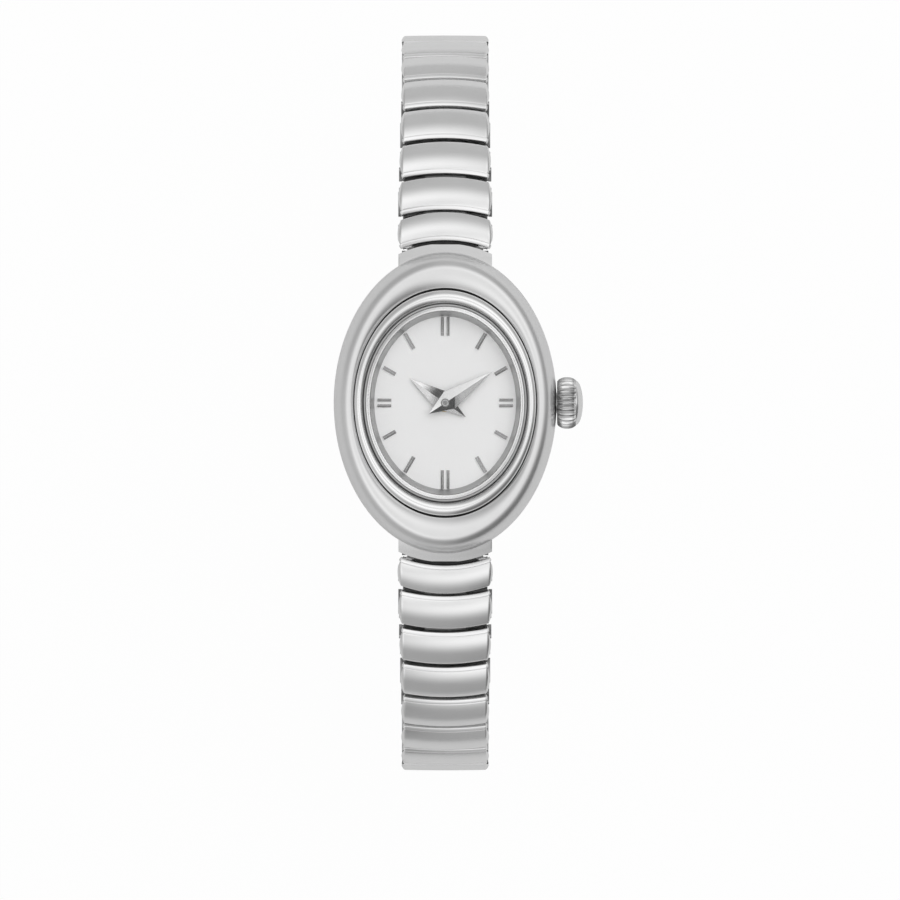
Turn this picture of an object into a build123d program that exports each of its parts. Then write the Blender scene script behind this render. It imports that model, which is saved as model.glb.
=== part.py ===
from build123d import *
import math
import os

# Oval bracelet watch, in millimetres.
# x points to 3 o'clock, y to 12 o'clock, z out through the dial.
# The origin is the centre of the case back's outer face, on the axis of the hands.

overrun = 0.5
fit_gap = 0.03
running_gap = 0.05

# Case
case_half_x = 9.29
case_half_y = 12.55
case_underside = 0.35
case_waist = 2.5
case_crest = 6.0
# Width of the case's shoulder round the bezel ring
shoulder_x = 1.72
shoulder_y = 3.16
# Each row is the inset across and along the dial, as shares of the band between outline and bezel,
# and the rise as a share.
flank_shares = [(0.38, 0.38, 0.0), (0.14, 0.14, 0.4), (0.03, 0.03, 0.8)]
dome_shares = [
    (0.0, 0.0, 0.0),
    (0.04, 0.03, 0.3),
    (0.14, 0.09, 0.6),
    (0.3, 0.2, 0.84),
    (0.48, 0.33, 0.95),
    (0.63, 0.44, 0.99),
    (0.78, 0.55, 1.0),
    (0.88, 0.7, 0.985),
    (0.96, 0.84, 0.95),
    (1.03, 1.03, 0.89),
]

# Bezel, crystal and the ring round the dial
bezel_half_x = case_half_x - shoulder_x
bezel_half_y = case_half_y - shoulder_y
bezel_width_x = 0.77
bezel_width_y = 1.16
bezel_inner_x = bezel_half_x - bezel_width_x
bezel_inner_y = bezel_half_y - bezel_width_y
bezel_seat = 5.0
bezel_top = 6.2
bezel_round = 0.28
crystal_gap_x = 0.22
crystal_gap_y = 0.23
crystal_half_x = bezel_inner_x - crystal_gap_x
crystal_half_y = bezel_inner_y - crystal_gap_y
crystal_underside = 5.5
crystal_edge_top = 6.35
crystal_crown_rise = 0.3
crystal_bevel = 0.2
cavity_gap_x = 0.2
cavity_gap_y = 0.23
cavity_half_x = bezel_inner_x - cavity_gap_x
cavity_half_y = bezel_inner_y - cavity_gap_y
flange_half_x = cavity_half_x - running_gap
flange_half_y = cavity_half_y - running_gap
flange_rim = 0.4
flange_top_x = flange_half_x - flange_rim
flange_top_y = flange_half_y - flange_rim

# Case back
back_margin_x = 1.59
back_margin_y = 2.55
back_half_x = case_half_x - back_margin_x
back_half_y = case_half_y - back_margin_y
back_thickness = 0.6
back_chamfer = 0.25
back_plug_height = 0.3
back_notch_width = 2.0
back_notch_depth = 0.35
back_gasket_width = 0.35
back_gasket_height = 0.25
back_gasket_margin = 0.3

# Dial and its applied bars
flange_slope_x = 0.35
flange_slope_y = 0.43
dial_opening_x = flange_top_x - flange_slope_x
dial_opening_y = flange_top_y - flange_slope_y
dial_margin = 0.3
dial_half_x = cavity_half_x - dial_margin
dial_half_y = cavity_half_y - dial_margin
dial_top = 4.0
dial_thickness = 0.35
dial_hole_radius = 0.75
marker_height = 0.18
marker_side_height = 0.11
bar_width = 0.31
twin_bar_width = 0.23
twin_bar_pitch = 0.47
# Hour, inset from the dial opening, and length, for the first quarter of the dial.
twelve_bar = (0.04, 1.54)
one_bar = (0.11, 1.46)
two_bar = (0.23, 1.13)
three_bar = (0.25, 1.13)

# Hands: distances from their axis
minute_tip = 4.7
minute_tail = 1.63
hour_tip = 3.57
hour_tail = 2.05
hand_half_width = 0.84
hand_shoulder = 0.43
hand_base = 0.08
hand_ridge = 0.2
hour_hand_seat = 4.25
minute_hand_seat = 4.65
minute_hand_angle = 56.4
hour_hand_angle = 304.7

# Motion work under the dial
gear_module = 0.11
cannon_teeth = 10
minute_wheel_teeth = 30
minute_pinion_teeth = 8
hour_wheel_teeth = 32
tooth_tip_share = 0.2
tooth_root_share = 0.62
addendum_share = 0.8
dedendum_share = 1.25
motion_pocket_floor = 2.85
motion_pocket_margin = 0.15
lower_gear_bottom = 2.92
lower_gear_height = 0.2
upper_gear_bottom = 3.2
upper_gear_height = 0.18
minute_wheel_bearing = 120.0
cannon_radius = 0.36
cannon_pin_radius = 0.27
cannon_pivot_radius = 0.2
cannon_pivot_depth = 0.5
cannon_top = 4.93
hour_pipe_wall = 0.2
hour_pipe_top = 4.4
stud_radius = 0.15
stud_height = 0.62

# Movement
plate_margin = 0.3
plate_half_x = cavity_half_x - plate_margin
plate_half_y = cavity_half_y - plate_margin
battery_radius = 3.4
battery_thickness = 1.65
battery_rim = 0.15
battery_x = -0.5
battery_y = -4.0
coil_length = 6.0
coil_radius = 0.8
coil_core_radius = 0.35
coil_core_length = 7.2
coil_y = 4.9
board_length = 8.0
board_width = 2.4
board_thickness = 0.3
board_y = 2.2

# Crown and stem
crown_radius = 2.165
crown_barrel_drop = 0.305
crown_end_radius = crown_radius - crown_barrel_drop
crown_cap_drop = 0.36
crown_cap_radius = crown_end_radius - crown_cap_drop
crown_case_gap = 0.13
crown_inner_x = case_half_x + crown_case_gap
crown_skirt_length = 1.53
crown_skirt_end_x = crown_inner_x + crown_skirt_length
crown_cap_length = 0.52
crown_outer_x = crown_skirt_end_x + crown_cap_length
flute_count = 26
flute_radius = 0.2
flute_depth = 0.13
stem_radius = 0.42
stem_clearance = 0.08
stem_length_in_plate = 0.8
stem_inner_x = plate_half_x - stem_length_in_plate
tube_radius = 0.85
tube_bore_radius = stem_radius + stem_clearance
tube_reach = 1.41
tube_end_x = case_half_x + tube_reach
crown_gasket_space = 0.35
crown_recess_radius = tube_radius + crown_gasket_space
crown_recess_depth = 1.48
crown_recess_end_x = crown_inner_x + crown_recess_depth
crown_thread_depth = 0.3
crown_thread_end_x = crown_recess_end_x + crown_thread_depth
crown_gasket_inset = 0.23
crown_gasket_inner_x = crown_inner_x + crown_gasket_inset
crown_gasket_width = 0.3

# Hooded lugs and the bars in them
lug_half_width = 4.03
lug_reach = 0.62
lug_end_y = case_half_y + lug_reach
lug_bow_radius = 9.0
lug_root_margin = 0.6
lug_root_y = cavity_half_y + lug_root_margin
bar_inset = 0.82
bar_y = lug_end_y - bar_inset
bar_z = 1.75
bar_radius = 0.35
bar_end_wall = 0.43
bar_half_length = lug_half_width - bar_end_wall
knuckle_wall = 0.27
knuckle_radius = bar_radius + knuckle_wall
knuckle_half_width = 2.6
knuckle_side_gap = 0.12
knuckle_clearance = 0.12
hood_thickness = 0.56
lug_underside = 1.0
lug_top = bar_z + knuckle_radius + knuckle_clearance + hood_thickness
hood_wall = 0.55
hood_underside = lug_top - hood_wall
hood_lip_width = 0.28
hood_lip_drop = 0.12

# Bracelet: a closed loop of two mirrored runs of links
links_per_side = 19
first_gap_run = 0.4
first_gap_rise = 0.15
first_gap_y = bar_y + first_gap_run
first_gap_z = bar_z + first_gap_rise
first_pitch = 2.75
link_pitch = 3.22
link_gap = 0.37
start_tilt = 5.0
end_tilt = 180.0
upper_bend_rate = 0.36
lower_bend_rate = 0.52
link_half_widths = [lug_half_width, 3.97, 3.88, 3.8]
end_link_half_width = 3.75
link_bows = [10.5, 14.3]
end_link_bow = 15.5
closing_bow = 150.0
bow_reference_x = 3.0
shell_underside = 0.05
shell_shoulder = 0.78
shell_bevel = 0.12
shell_bevel_rise = 0.12
shell_crest = 1.25
shell_end_drop = 0.35
shell_end_run = 0.7
shell_end_bulge = 0.7
plan_reach_share = 0.65
channel_half_length = 1.1
channel_end_wall = 0.3
channel_floor = 0.3
channel_roof = 0.85
end_window_depth = 0.5
end_window_roof = 0.42
inner_end_gap = 0.33
inner_half_length = link_pitch / 2 - inner_end_gap
inner_crest = -0.1
inner_edge_top = -0.5
inner_edge_bottom = -0.85
inner_belly = -1.15
inner_raised_half_width = 1.7
inner_step_height = -0.32
leg_radius = 0.17
leg_length = 0.95
bridge_half_width = 0.2
bridge_thickness = 0.24
inner_leg_u = 0.55
inner_leg_w = -0.62
slide_travel = 1.0
spring_half_length = 2.0
spring_side_gap = 0.15
spring_thickness = 0.1
closing_leg_u = 0.55


def oval(half_x, half_y, bottom, top):
    """A straight-walled oval slab."""
    return Pos(0, 0, bottom) * extrude(Ellipse(half_x, half_y), top - bottom)


def disc(radius, bottom, top):
    """A round slab on the axis of the hands."""
    return Pos(0, 0, bottom) * extrude(Circle(radius), top - bottom)


def block(x0, x1, y0, y1, z0, z1):
    """A rectangular block between two opposite corners."""
    size = Box(x1 - x0, y1 - y0, z1 - z0, align=(Align.MIN, Align.MIN, Align.MIN))
    return Pos(x0, y0, z0) * size


def rod_x(radius, x0, x1, y, z):
    """A round rod along x."""
    return Pos(x0, y, z) * Rot(0, 90, 0) * extrude(Circle(radius), x1 - x0)


def spin_x(points):
    """Turns a closed outline of (x, radius) points about the x axis."""
    outline = make_face(Polyline(*[(x, radius, 0) for x, radius in points], close=True))
    return revolve(outline, Axis.X)


# Case


def case_section(across_share, along_share, z):
    band_x = case_half_x - bezel_half_x
    band_y = case_half_y - bezel_half_y
    section = Ellipse(case_half_x - across_share * band_x, case_half_y - along_share * band_y)
    return Pos(0, 0, z) * section


def make_case():
    sections = []
    for across_share, along_share, rise_share in flank_shares:
        height = case_underside + rise_share * (case_waist - case_underside)
        sections.append(case_section(across_share, along_share, height))
    for across_share, along_share, rise_share in dome_shares:
        height = case_waist + rise_share * (case_crest - case_waist)
        sections.append(case_section(across_share, along_share, height))
    body = loft(sections)
    for turn in (0, 180):
        body += Rot(0, 0, turn) * make_lug()
    for turn in (0, 180):
        body -= Rot(0, 0, turn) * make_knuckle_pocket()
    body += rod_x(tube_radius, cavity_half_x + running_gap, tube_end_x, 0, case_waist)
    body -= oval(
        bezel_half_x + fit_gap, bezel_half_y + fit_gap, bezel_seat, case_crest + overrun
    )
    body -= oval(cavity_half_x, cavity_half_y, case_underside - overrun, case_crest + overrun)
    body -= oval(
        back_half_x + fit_gap, back_half_y + fit_gap, case_underside - overrun, back_thickness
    )
    body -= make_back_gasket_ring(fit_gap)
    body -= rod_x(tube_bore_radius, stem_inner_x, tube_end_x + overrun, 0, case_waist)
    return body


def make_lug():
    end_centre_y = lug_end_y - lug_bow_radius
    hood = block(
        -lug_half_width, lug_half_width, lug_root_y, lug_end_y, lug_underside, lug_top
    )
    bow = Pos(0, end_centre_y, 0) * disc(lug_bow_radius, lug_underside, lug_top)
    hood &= bow
    lip_bottom = lug_top - hood_lip_drop
    lip = disc(lug_bow_radius + overrun, lip_bottom, lug_top + overrun)
    lip -= disc(lug_bow_radius - hood_lip_width, lip_bottom, lug_top + overrun)
    hood -= Pos(0, end_centre_y, 0) * lip
    hood -= oval(
        cavity_half_x, cavity_half_y, lug_underside - overrun, lug_top + overrun
    )
    for side in (-1, 1):
        ends = sorted((side * (knuckle_half_width - overrun), side * (bar_half_length + fit_gap)))
        hood -= rod_x(bar_radius + fit_gap, ends[0], ends[1], bar_y, bar_z)
    return hood


def make_knuckle_pocket():
    half_width = knuckle_half_width + knuckle_side_gap
    radius = knuckle_radius + knuckle_clearance
    pocket = rod_x(radius, -half_width, half_width, bar_y, bar_z)
    pocket += block(
        -half_width, half_width, bar_y, lug_end_y + overrun, lug_underside - overrun, hood_underside
    )
    pocket += block(
        -half_width, half_width, bar_y - radius, bar_y, lug_underside - overrun, bar_z
    )
    return pocket


def make_back_gasket_ring(clearance):
    inner_x = cavity_half_x + back_gasket_margin - clearance
    inner_y = cavity_half_y + back_gasket_margin - clearance
    width = back_gasket_width + clearance + clearance
    bottom = back_thickness
    top = back_thickness + back_gasket_height + clearance
    ring = oval(inner_x + width, inner_y + width, bottom, top)
    return ring - oval(inner_x, inner_y, bottom, top)


def make_case_back():
    plate = oval(back_half_x, back_half_y, 0, back_thickness)
    outer_edge = plate.edges().group_by(Axis.Z)[0]
    plate = chamfer(outer_edge, back_chamfer)
    plug = oval(
        cavity_half_x - running_gap,
        cavity_half_y - running_gap,
        back_thickness,
        back_thickness + back_plug_height,
    )
    notch = block(
        -back_notch_width / 2,
        back_notch_width / 2,
        back_half_y - back_notch_depth,
        back_half_y + overrun,
        -overrun,
        back_notch_depth,
    )
    return plate + plug - notch


# Bezel, crystal and the ring round the dial


def make_bezel_ring():
    ring = oval(bezel_half_x, bezel_half_y, bezel_seat, bezel_top)
    ring -= oval(bezel_inner_x, bezel_inner_y, bezel_seat - overrun, bezel_top + overrun)
    return fillet(ring.edges().group_by(Axis.Z)[-1], bezel_round)


def make_crystal():
    side = oval(
        crystal_half_x, crystal_half_y, crystal_underside, crystal_edge_top - crystal_bevel
    )
    low = Pos(0, 0, crystal_edge_top - crystal_bevel) * Ellipse(crystal_half_x, crystal_half_y)
    high_x = crystal_half_x - crystal_bevel
    high_y = crystal_half_y - crystal_bevel
    high = Pos(0, 0, crystal_edge_top) * Ellipse(high_x, high_y)
    side += loft([low, high], ruled=True)
    sphere_radius = (high_x**2 + crystal_crown_rise**2) / (2 * crystal_crown_rise)
    ball = Pos(0, 0, crystal_edge_top + crystal_crown_rise - sphere_radius) * Sphere(sphere_radius)
    crown_slab = oval(high_x, high_y, crystal_edge_top, crystal_edge_top + crystal_crown_rise)
    return side + (ball & crown_slab)


def make_crystal_gasket():
    ring = oval(
        bezel_inner_x - fit_gap,
        bezel_inner_y - fit_gap,
        bezel_seat,
        crystal_edge_top - crystal_bevel,
    )
    hole = oval(
        crystal_half_x + fit_gap,
        crystal_half_y + fit_gap,
        bezel_seat - overrun,
        crystal_edge_top + overrun,
    )
    return ring - hole


def make_flange_ring():
    ring = oval(flange_half_x, flange_half_y, dial_top, crystal_underside)
    low = Pos(0, 0, dial_top) * Ellipse(dial_opening_x, dial_opening_y)
    high = Pos(0, 0, crystal_underside) * Ellipse(flange_top_x, flange_top_y)
    return ring - loft([low, high], ruled=True)


# Dial and its applied bars


def make_dial():
    plate = oval(dial_half_x, dial_half_y, dial_top - dial_thickness, dial_top)
    return plate - disc(dial_hole_radius, 0, dial_top + overrun)


def dial_reach(angle):
    """Distance from the axis to the dial opening along a clock angle."""
    across = math.sin(math.radians(angle)) / dial_opening_x
    along = math.cos(math.radians(angle)) / dial_opening_y
    return 1 / math.hypot(across, along)


def marker_bar(angle, offset, width, inset, length):
    """A bar with a ridge along its middle, pointing at the hands."""
    outer = dial_reach(angle) - inset
    front = make_face(
        Polyline(
            (-width / 2, 0),
            (width / 2, 0),
            (width / 2, marker_side_height),
            (0, marker_height),
            (-width / 2, marker_side_height),
            close=True,
        )
    )
    bar = Pos(offset, outer, dial_top) * extrude(Plane.XZ * front, length)
    return Rot(0, 0, -angle) * bar


def make_hour_markers():
    bars = []
    for hour in range(12):
        angle = 30 * hour
        quarter = min(hour % 6, 6 - hour % 6)
        inset, length = (twelve_bar, one_bar, two_bar, three_bar)[quarter]
        if hour % 3 == 0:
            for side in (-1, 1):
                offset = side * twin_bar_pitch / 2
                bars.append(marker_bar(angle, offset, twin_bar_width, inset, length))
        else:
            bars.append(marker_bar(angle, 0, bar_width, inset, length))
    return Compound(children=bars)


# Hands


def faceted_hand(tip, tail, seat, hole_radius):
    """A flat kite with a four-sided ridge on top, pointing to 12 o'clock."""
    kite = make_face(
        Polyline(
            (0, tip, 0),
            (hand_half_width, hand_shoulder, 0),
            (0, -tail, 0),
            (-hand_half_width, hand_shoulder, 0),
            close=True,
        )
    )
    body = extrude(kite, hand_base)
    peak = Vertex(0, hand_shoulder, hand_base + hand_ridge)
    body += loft([Pos(0, 0, hand_base) * kite, peak])
    body -= disc(hole_radius, -overrun, hand_base + hand_ridge + overrun)
    return Pos(0, 0, seat) * body


def make_minute_hand():
    hand = faceted_hand(minute_tip, minute_tail, minute_hand_seat, cannon_pin_radius)
    return Rot(0, 0, -minute_hand_angle) * hand


def make_hour_hand():
    hand = faceted_hand(hour_tip, hour_tail, hour_hand_seat, hour_pipe_radius())
    return Rot(0, 0, -hour_hand_angle) * hand


# Motion work


def hour_pipe_radius():
    return cannon_radius + running_gap + hour_pipe_wall


def gear(teeth, bottom, height):
    """A toothed wheel whose teeth narrow towards their tips."""
    pitch_radius = gear_module * teeth / 2
    root = pitch_radius - dedendum_share * gear_module
    top = pitch_radius + addendum_share * gear_module
    step = 360 / teeth
    corners = []
    for index in range(teeth):
        for radius, share in (
            (root, -tooth_root_share / 2),
            (top, -tooth_tip_share / 2),
            (top, tooth_tip_share / 2),
            (root, tooth_root_share / 2),
        ):
            angle = math.radians(step * (index + share))
            corners.append((radius * math.cos(angle), radius * math.sin(angle)))
    outline = make_face(Polyline(*corners, close=True))
    return Pos(0, 0, bottom) * extrude(outline, height)


def motion_centre():
    """The place of the minute wheel's stud."""
    distance = gear_module * (cannon_teeth + minute_wheel_teeth) / 2
    angle = math.radians(minute_wheel_bearing)
    return distance * math.cos(angle), distance * math.sin(angle)


def half_tooth(teeth):
    return 180 / teeth


def make_cannon_pinion():
    pinion = gear(cannon_teeth, lower_gear_bottom, lower_gear_height)
    pinion += disc(cannon_radius, lower_gear_bottom, minute_hand_seat)
    pinion += disc(cannon_pin_radius - fit_gap / 3, minute_hand_seat, cannon_top)
    pinion += disc(
        cannon_pivot_radius, motion_pocket_floor - cannon_pivot_depth, lower_gear_bottom
    )
    return Rot(0, 0, minute_wheel_bearing) * pinion


def make_hour_wheel():
    pipe_radius = hour_pipe_radius()
    wheel = gear(hour_wheel_teeth, upper_gear_bottom, upper_gear_height)
    wheel += disc(pipe_radius, upper_gear_bottom, hour_pipe_top)
    wheel -= disc(cannon_radius + running_gap, upper_gear_bottom - overrun, hour_pipe_top + overrun)
    return Rot(0, 0, minute_wheel_bearing) * wheel


def make_minute_wheel():
    wheel = gear(minute_wheel_teeth, lower_gear_bottom, lower_gear_height)
    wheel = Rot(0, 0, half_tooth(minute_wheel_teeth)) * wheel
    pinion_bottom = lower_gear_bottom + lower_gear_height
    pinion_height = upper_gear_bottom + upper_gear_height - pinion_bottom
    pinion = gear(minute_pinion_teeth, pinion_bottom, pinion_height)
    wheel += Rot(0, 0, half_tooth(minute_pinion_teeth)) * pinion
    wheel -= disc(stud_radius + running_gap, 0, dial_top)
    stud_x, stud_y = motion_centre()
    return Pos(stud_x, stud_y, 0) * Rot(0, 0, minute_wheel_bearing + 180) * wheel


# Movement


def plate_bottom():
    return back_thickness + back_plug_height


def pocket_radius(teeth):
    return gear_module * (teeth / 2 + addendum_share) + motion_pocket_margin


def make_main_plate():
    bottom = plate_bottom()
    top = dial_top - dial_thickness
    plate = oval(plate_half_x, plate_half_y, bottom, top)
    stud_x, stud_y = motion_centre()
    plate -= disc(pocket_radius(hour_wheel_teeth), motion_pocket_floor, top + overrun)
    plate -= Pos(stud_x, stud_y, 0) * disc(
        pocket_radius(minute_wheel_teeth), motion_pocket_floor, top + overrun
    )
    plate += Pos(stud_x, stud_y, 0) * disc(
        stud_radius, motion_pocket_floor, motion_pocket_floor + stud_height
    )
    plate -= disc(
        cannon_pivot_radius + fit_gap,
        motion_pocket_floor - cannon_pivot_depth - running_gap,
        top,
    )
    plate -= Pos(battery_x, battery_y, 0) * disc(
        battery_radius + running_gap, bottom - overrun, bottom + battery_thickness
    )
    coil_z = bottom + coil_radius
    plate -= block(
        -coil_core_length / 2 - running_gap,
        coil_core_length / 2 + running_gap,
        coil_y - coil_radius - running_gap,
        coil_y + coil_radius + running_gap,
        bottom - overrun,
        coil_z + coil_radius,
    )
    plate -= block(
        -board_length / 2 - running_gap,
        board_length / 2 + running_gap,
        board_y - board_width / 2 - running_gap,
        board_y + board_width / 2 + running_gap,
        bottom - overrun,
        bottom + board_thickness,
    )
    bore_start = stem_inner_x - running_gap
    plate -= rod_x(tube_bore_radius, bore_start, plate_half_x + overrun, 0, case_waist)
    return plate


def make_battery():
    bottom = plate_bottom()
    can = disc(battery_radius, bottom, bottom + battery_thickness)
    return Pos(battery_x, battery_y, 0) * chamfer(can.edges().group_by(Axis.Z)[0], battery_rim)


def make_motor_coil():
    coil_z = plate_bottom() + coil_radius
    winding = rod_x(coil_radius, -coil_length / 2, coil_length / 2, coil_y, coil_z)
    core = rod_x(coil_core_radius, -coil_core_length / 2, coil_core_length / 2, coil_y, coil_z)
    return winding + core


def make_circuit_board():
    bottom = plate_bottom()
    return block(
        -board_length / 2,
        board_length / 2,
        board_y - board_width / 2,
        board_y + board_width / 2,
        bottom,
        bottom + board_thickness,
    )


# Crown and stem


def make_crown():
    skirt = crown_skirt_end_x - crown_inner_x
    profile = [
        (crown_inner_x, 0),
        (crown_inner_x, crown_end_radius),
        (crown_inner_x + skirt / 4, crown_radius),
        (crown_skirt_end_x - skirt / 3, crown_radius),
        (crown_skirt_end_x, crown_end_radius),
        (crown_outer_x - skirt / 8, crown_cap_radius),
        (crown_outer_x, crown_cap_radius / 2),
        (crown_outer_x, 0),
    ]
    body = spin_x(profile)
    middle = crown_radius + flute_radius - flute_depth
    for index in range(flute_count):
        flute = rod_x(
            flute_radius, crown_inner_x - overrun, crown_skirt_end_x, middle, 0
        )
        body -= Rot(360 * index / flute_count, 0, 0) * flute
    body -= rod_x(crown_recess_radius, crown_inner_x - overrun, crown_recess_end_x, 0, 0)
    body -= rod_x(stem_radius, crown_recess_end_x - overrun, crown_thread_end_x, 0, 0)
    return Pos(0, 0, case_waist) * body


def make_winding_stem():
    return rod_x(stem_radius, stem_inner_x, crown_thread_end_x, 0, case_waist)


def make_crown_gasket():
    end = crown_gasket_inner_x + crown_gasket_width
    outer = rod_x(crown_recess_radius - fit_gap, crown_gasket_inner_x, end, 0, case_waist)
    return outer - rod_x(
        tube_radius + fit_gap, crown_gasket_inner_x - overrun, end + overrun, 0, case_waist
    )


# Bracelet layout


def tilt_at(index, bend_centre):
    """Downward tilt of a link, which turns over gently from the case to the foot of the loop."""
    rate = upper_bend_rate if index < bend_centre else lower_bend_rate
    return start_tilt + (end_tilt - start_tilt) / (1 + math.exp(-(index - bend_centre) * rate))


def pitch_of(index):
    return first_pitch if index == 1 else link_pitch


def half_loop_end(bend_centre):
    reach = first_gap_y
    for index in range(1, links_per_side + 1):
        reach += pitch_of(index) * math.cos(math.radians(tilt_at(index, bend_centre)))
    return reach


def find_bend_centre():
    """Halves the interval until the last link ends on the plane between the two runs."""
    low = 0
    high = links_per_side
    for _ in range(60):
        middle = (low + high) / 2
        if half_loop_end(middle) > 0:
            high = middle
        else:
            low = middle
    return low


bend_centre = find_bend_centre()
tilts = [tilt_at(index, bend_centre) for index in range(1, links_per_side + 1)]


def gap_points():
    """Points between neighbouring links, from the lug to the foot of the loop."""
    points = [(first_gap_y, first_gap_z)]
    for index, tilt in enumerate(tilts, start=1):
        y, z = points[-1]
        angle = math.radians(tilt)
        step = pitch_of(index)
        points.append((y + step * math.cos(angle), z - step * math.sin(angle)))
    return points


gaps = gap_points()


def link_frame(index):
    """Centre and tilt of a link, counted from 1 at the lug."""
    y0, z0 = gaps[index - 1]
    y1, z1 = gaps[index]
    return (y0 + y1) / 2, (z0 + z1) / 2, tilts[index - 1]


def gap_frame(index):
    """Centre and tilt of the gap after a link."""
    y, z = gaps[index]
    following = tilts[index] if index < links_per_side else end_tilt
    return y, z, (tilts[index - 1] + following) / 2


def placed(frame):
    y, z, tilt = frame
    return Pos(0, y, z) * Rot(-tilt, 0, 0)


def to_section(frame, u, w):
    """Turns a place along and above a link into y and z."""
    y, z, tilt = frame
    angle = math.radians(tilt)
    return (
        y + u * math.cos(angle) + w * math.sin(angle),
        z - u * math.sin(angle) + w * math.cos(angle),
    )


def half_width_of(index):
    return link_half_widths[index - 1] if index <= len(link_half_widths) else end_link_half_width


def bow_of(index):
    return link_bows[index - 1] if index <= len(link_bows) else end_link_bow


# Bracelet pieces


def bow_drop(bow, x):
    """How far a bowed link has curved back at a distance from its middle."""
    return bow - math.sqrt(bow**2 - x**2)


def bowed(profile, bow, half_width):
    """Turns a profile drawn along and above a link through the arc that the link bows in."""
    drop = bow_drop(bow, bow_reference_x)
    half_angle = math.degrees(math.asin(half_width / bow))
    axis = Axis((0, drop - bow, 0), (0, 0, 1))
    standing = Pos(0, drop, 0) * (Plane.YZ * profile)
    start = standing.rotate(axis, -half_angle)
    return revolve(start, axis, 2 * half_angle)


def end_limits(half_width, bow):
    """Solids that give a shell its rounded outline from above and from its front."""
    side_z = shell_crest - shell_end_drop
    shoulder_x = half_width - shell_end_run
    mid_x = half_width - shell_end_run / 4
    mid_z = shell_crest - shell_end_drop / 3
    front = make_face(
        Polyline(
            (half_width, side_z),
            (half_width, -shell_crest),
            (-half_width, -shell_crest),
            (-half_width, side_z),
        )
        + ThreePointArc((-half_width, side_z), (-mid_x, mid_z), (-shoulder_x, shell_crest))
        + Line((-shoulder_x, shell_crest), (shoulder_x, shell_crest))
        + ThreePointArc((shoulder_x, shell_crest), (mid_x, mid_z), (half_width, side_z))
    )
    corner_x = half_width - shell_end_bulge
    reach = link_pitch * plan_reach_share
    bowed_back = bow_drop(bow, half_width) - bow_drop(bow, bow_reference_x)
    plan = Pos(0, -bowed_back, 0) * make_face(
        Line((-corner_x, -reach), (corner_x, -reach))
        + ThreePointArc((corner_x, -reach), (half_width, 0), (corner_x, reach))
        + Line((corner_x, reach), (-corner_x, reach))
        + ThreePointArc((-corner_x, reach), (-half_width, 0), (-corner_x, -reach))
    )
    front_solid = extrude(Plane.XZ * front, link_pitch, both=True)
    return front_solid, extrude(plan, link_pitch, both=True)


def shell_profile(half_length):
    """Barrel outline of an outer link, along the link and above it."""
    shoulder_u = half_length - shell_bevel
    shoulder_w = shell_shoulder + shell_bevel_rise
    return make_face(
        Polyline(
            (shoulder_u, shoulder_w),
            (half_length, shell_shoulder),
            (half_length, shell_underside),
            (-half_length, shell_underside),
            (-half_length, shell_shoulder),
            (-shoulder_u, shoulder_w),
        )
        + ThreePointArc((-shoulder_u, shoulder_w), (0, shell_crest), (shoulder_u, shoulder_w))
    )


def rectangle_profile(u0, u1, w0, w1):
    return make_face(Polyline((u0, w0), (u1, w0), (u1, w1), (u0, w1), close=True))


def channel_half_of(index):
    half_length = (pitch_of(index) - link_gap) / 2
    return min(channel_half_length, half_length - channel_end_wall)


def outer_leg_of(index):
    """How far the staples' legs lie from the middle of an outer link, clear of its bowed wall."""
    bridge_x = half_width_of(index) - end_window_depth / 2
    bow = bow_of(index)
    bowed_back = bow_drop(bow, bridge_x) - bow_drop(bow, bow_reference_x)
    return channel_half_of(index) - bridge_half_width - bowed_back - fit_gap


def make_outer_shell(index):
    """One outer link in its own frame: a bowed barrel with a channel through it."""
    half_width = half_width_of(index)
    bow = bow_of(index)
    half_length = (pitch_of(index) - link_gap) / 2
    reach = half_width + overrun
    shell = bowed(shell_profile(half_length), bow, reach)
    channel_half = channel_half_of(index)
    channel = rectangle_profile(-channel_half, channel_half, channel_floor, channel_roof)
    shell -= bowed(channel, bow, reach + overrun)
    for limit in end_limits(half_width, bow):
        shell &= limit
    if index == links_per_side:
        shell -= block(-reach, reach, half_length, link_pitch, -shell_crest, shell_crest + overrun)
    for side in (-1, 1):
        inner_x = half_width - end_window_depth
        ends = sorted((side * inner_x, side * (half_width + overrun)))
        shell -= block(
            ends[0], ends[1], -link_pitch, link_pitch, -overrun, end_window_roof
        )
    return shell


def make_inner_shell(index):
    """One inner link in the frame of the gap that it bridges; the one at the loop's foot is straight."""
    half_width = half_width_of(index) - end_window_depth
    bow = closing_bow if index == links_per_side else bow_of(index)
    profile = make_face(
        ThreePointArc(
            (-inner_half_length, inner_edge_top), (0, inner_crest), (inner_half_length, inner_edge_top)
        )
        + Line((inner_half_length, inner_edge_top), (inner_half_length, inner_edge_bottom))
        + ThreePointArc(
            (inner_half_length, inner_edge_bottom),
            (0, inner_belly),
            (-inner_half_length, inner_edge_bottom),
        )
        + Line((-inner_half_length, inner_edge_bottom), (-inner_half_length, inner_edge_top))
    )
    shell = bowed(profile, bow, half_width + overrun)
    shell &= block(-half_width, half_width, -link_pitch, link_pitch, inner_belly - overrun, 0)
    for side in (-1, 1):
        ends = sorted((side * inner_raised_half_width, side * (half_width + overrun)))
        shell -= block(ends[0], ends[1], -link_pitch, link_pitch, inner_step_height, overrun)
        start = half_width - leg_length - running_gap
        ends = sorted((side * start, side * (half_width + overrun)))
        for u in (-inner_leg_u, inner_leg_u):
            shell -= rod_x(leg_radius + fit_gap, ends[0], ends[1], u, inner_leg_w)
    return shell


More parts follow.
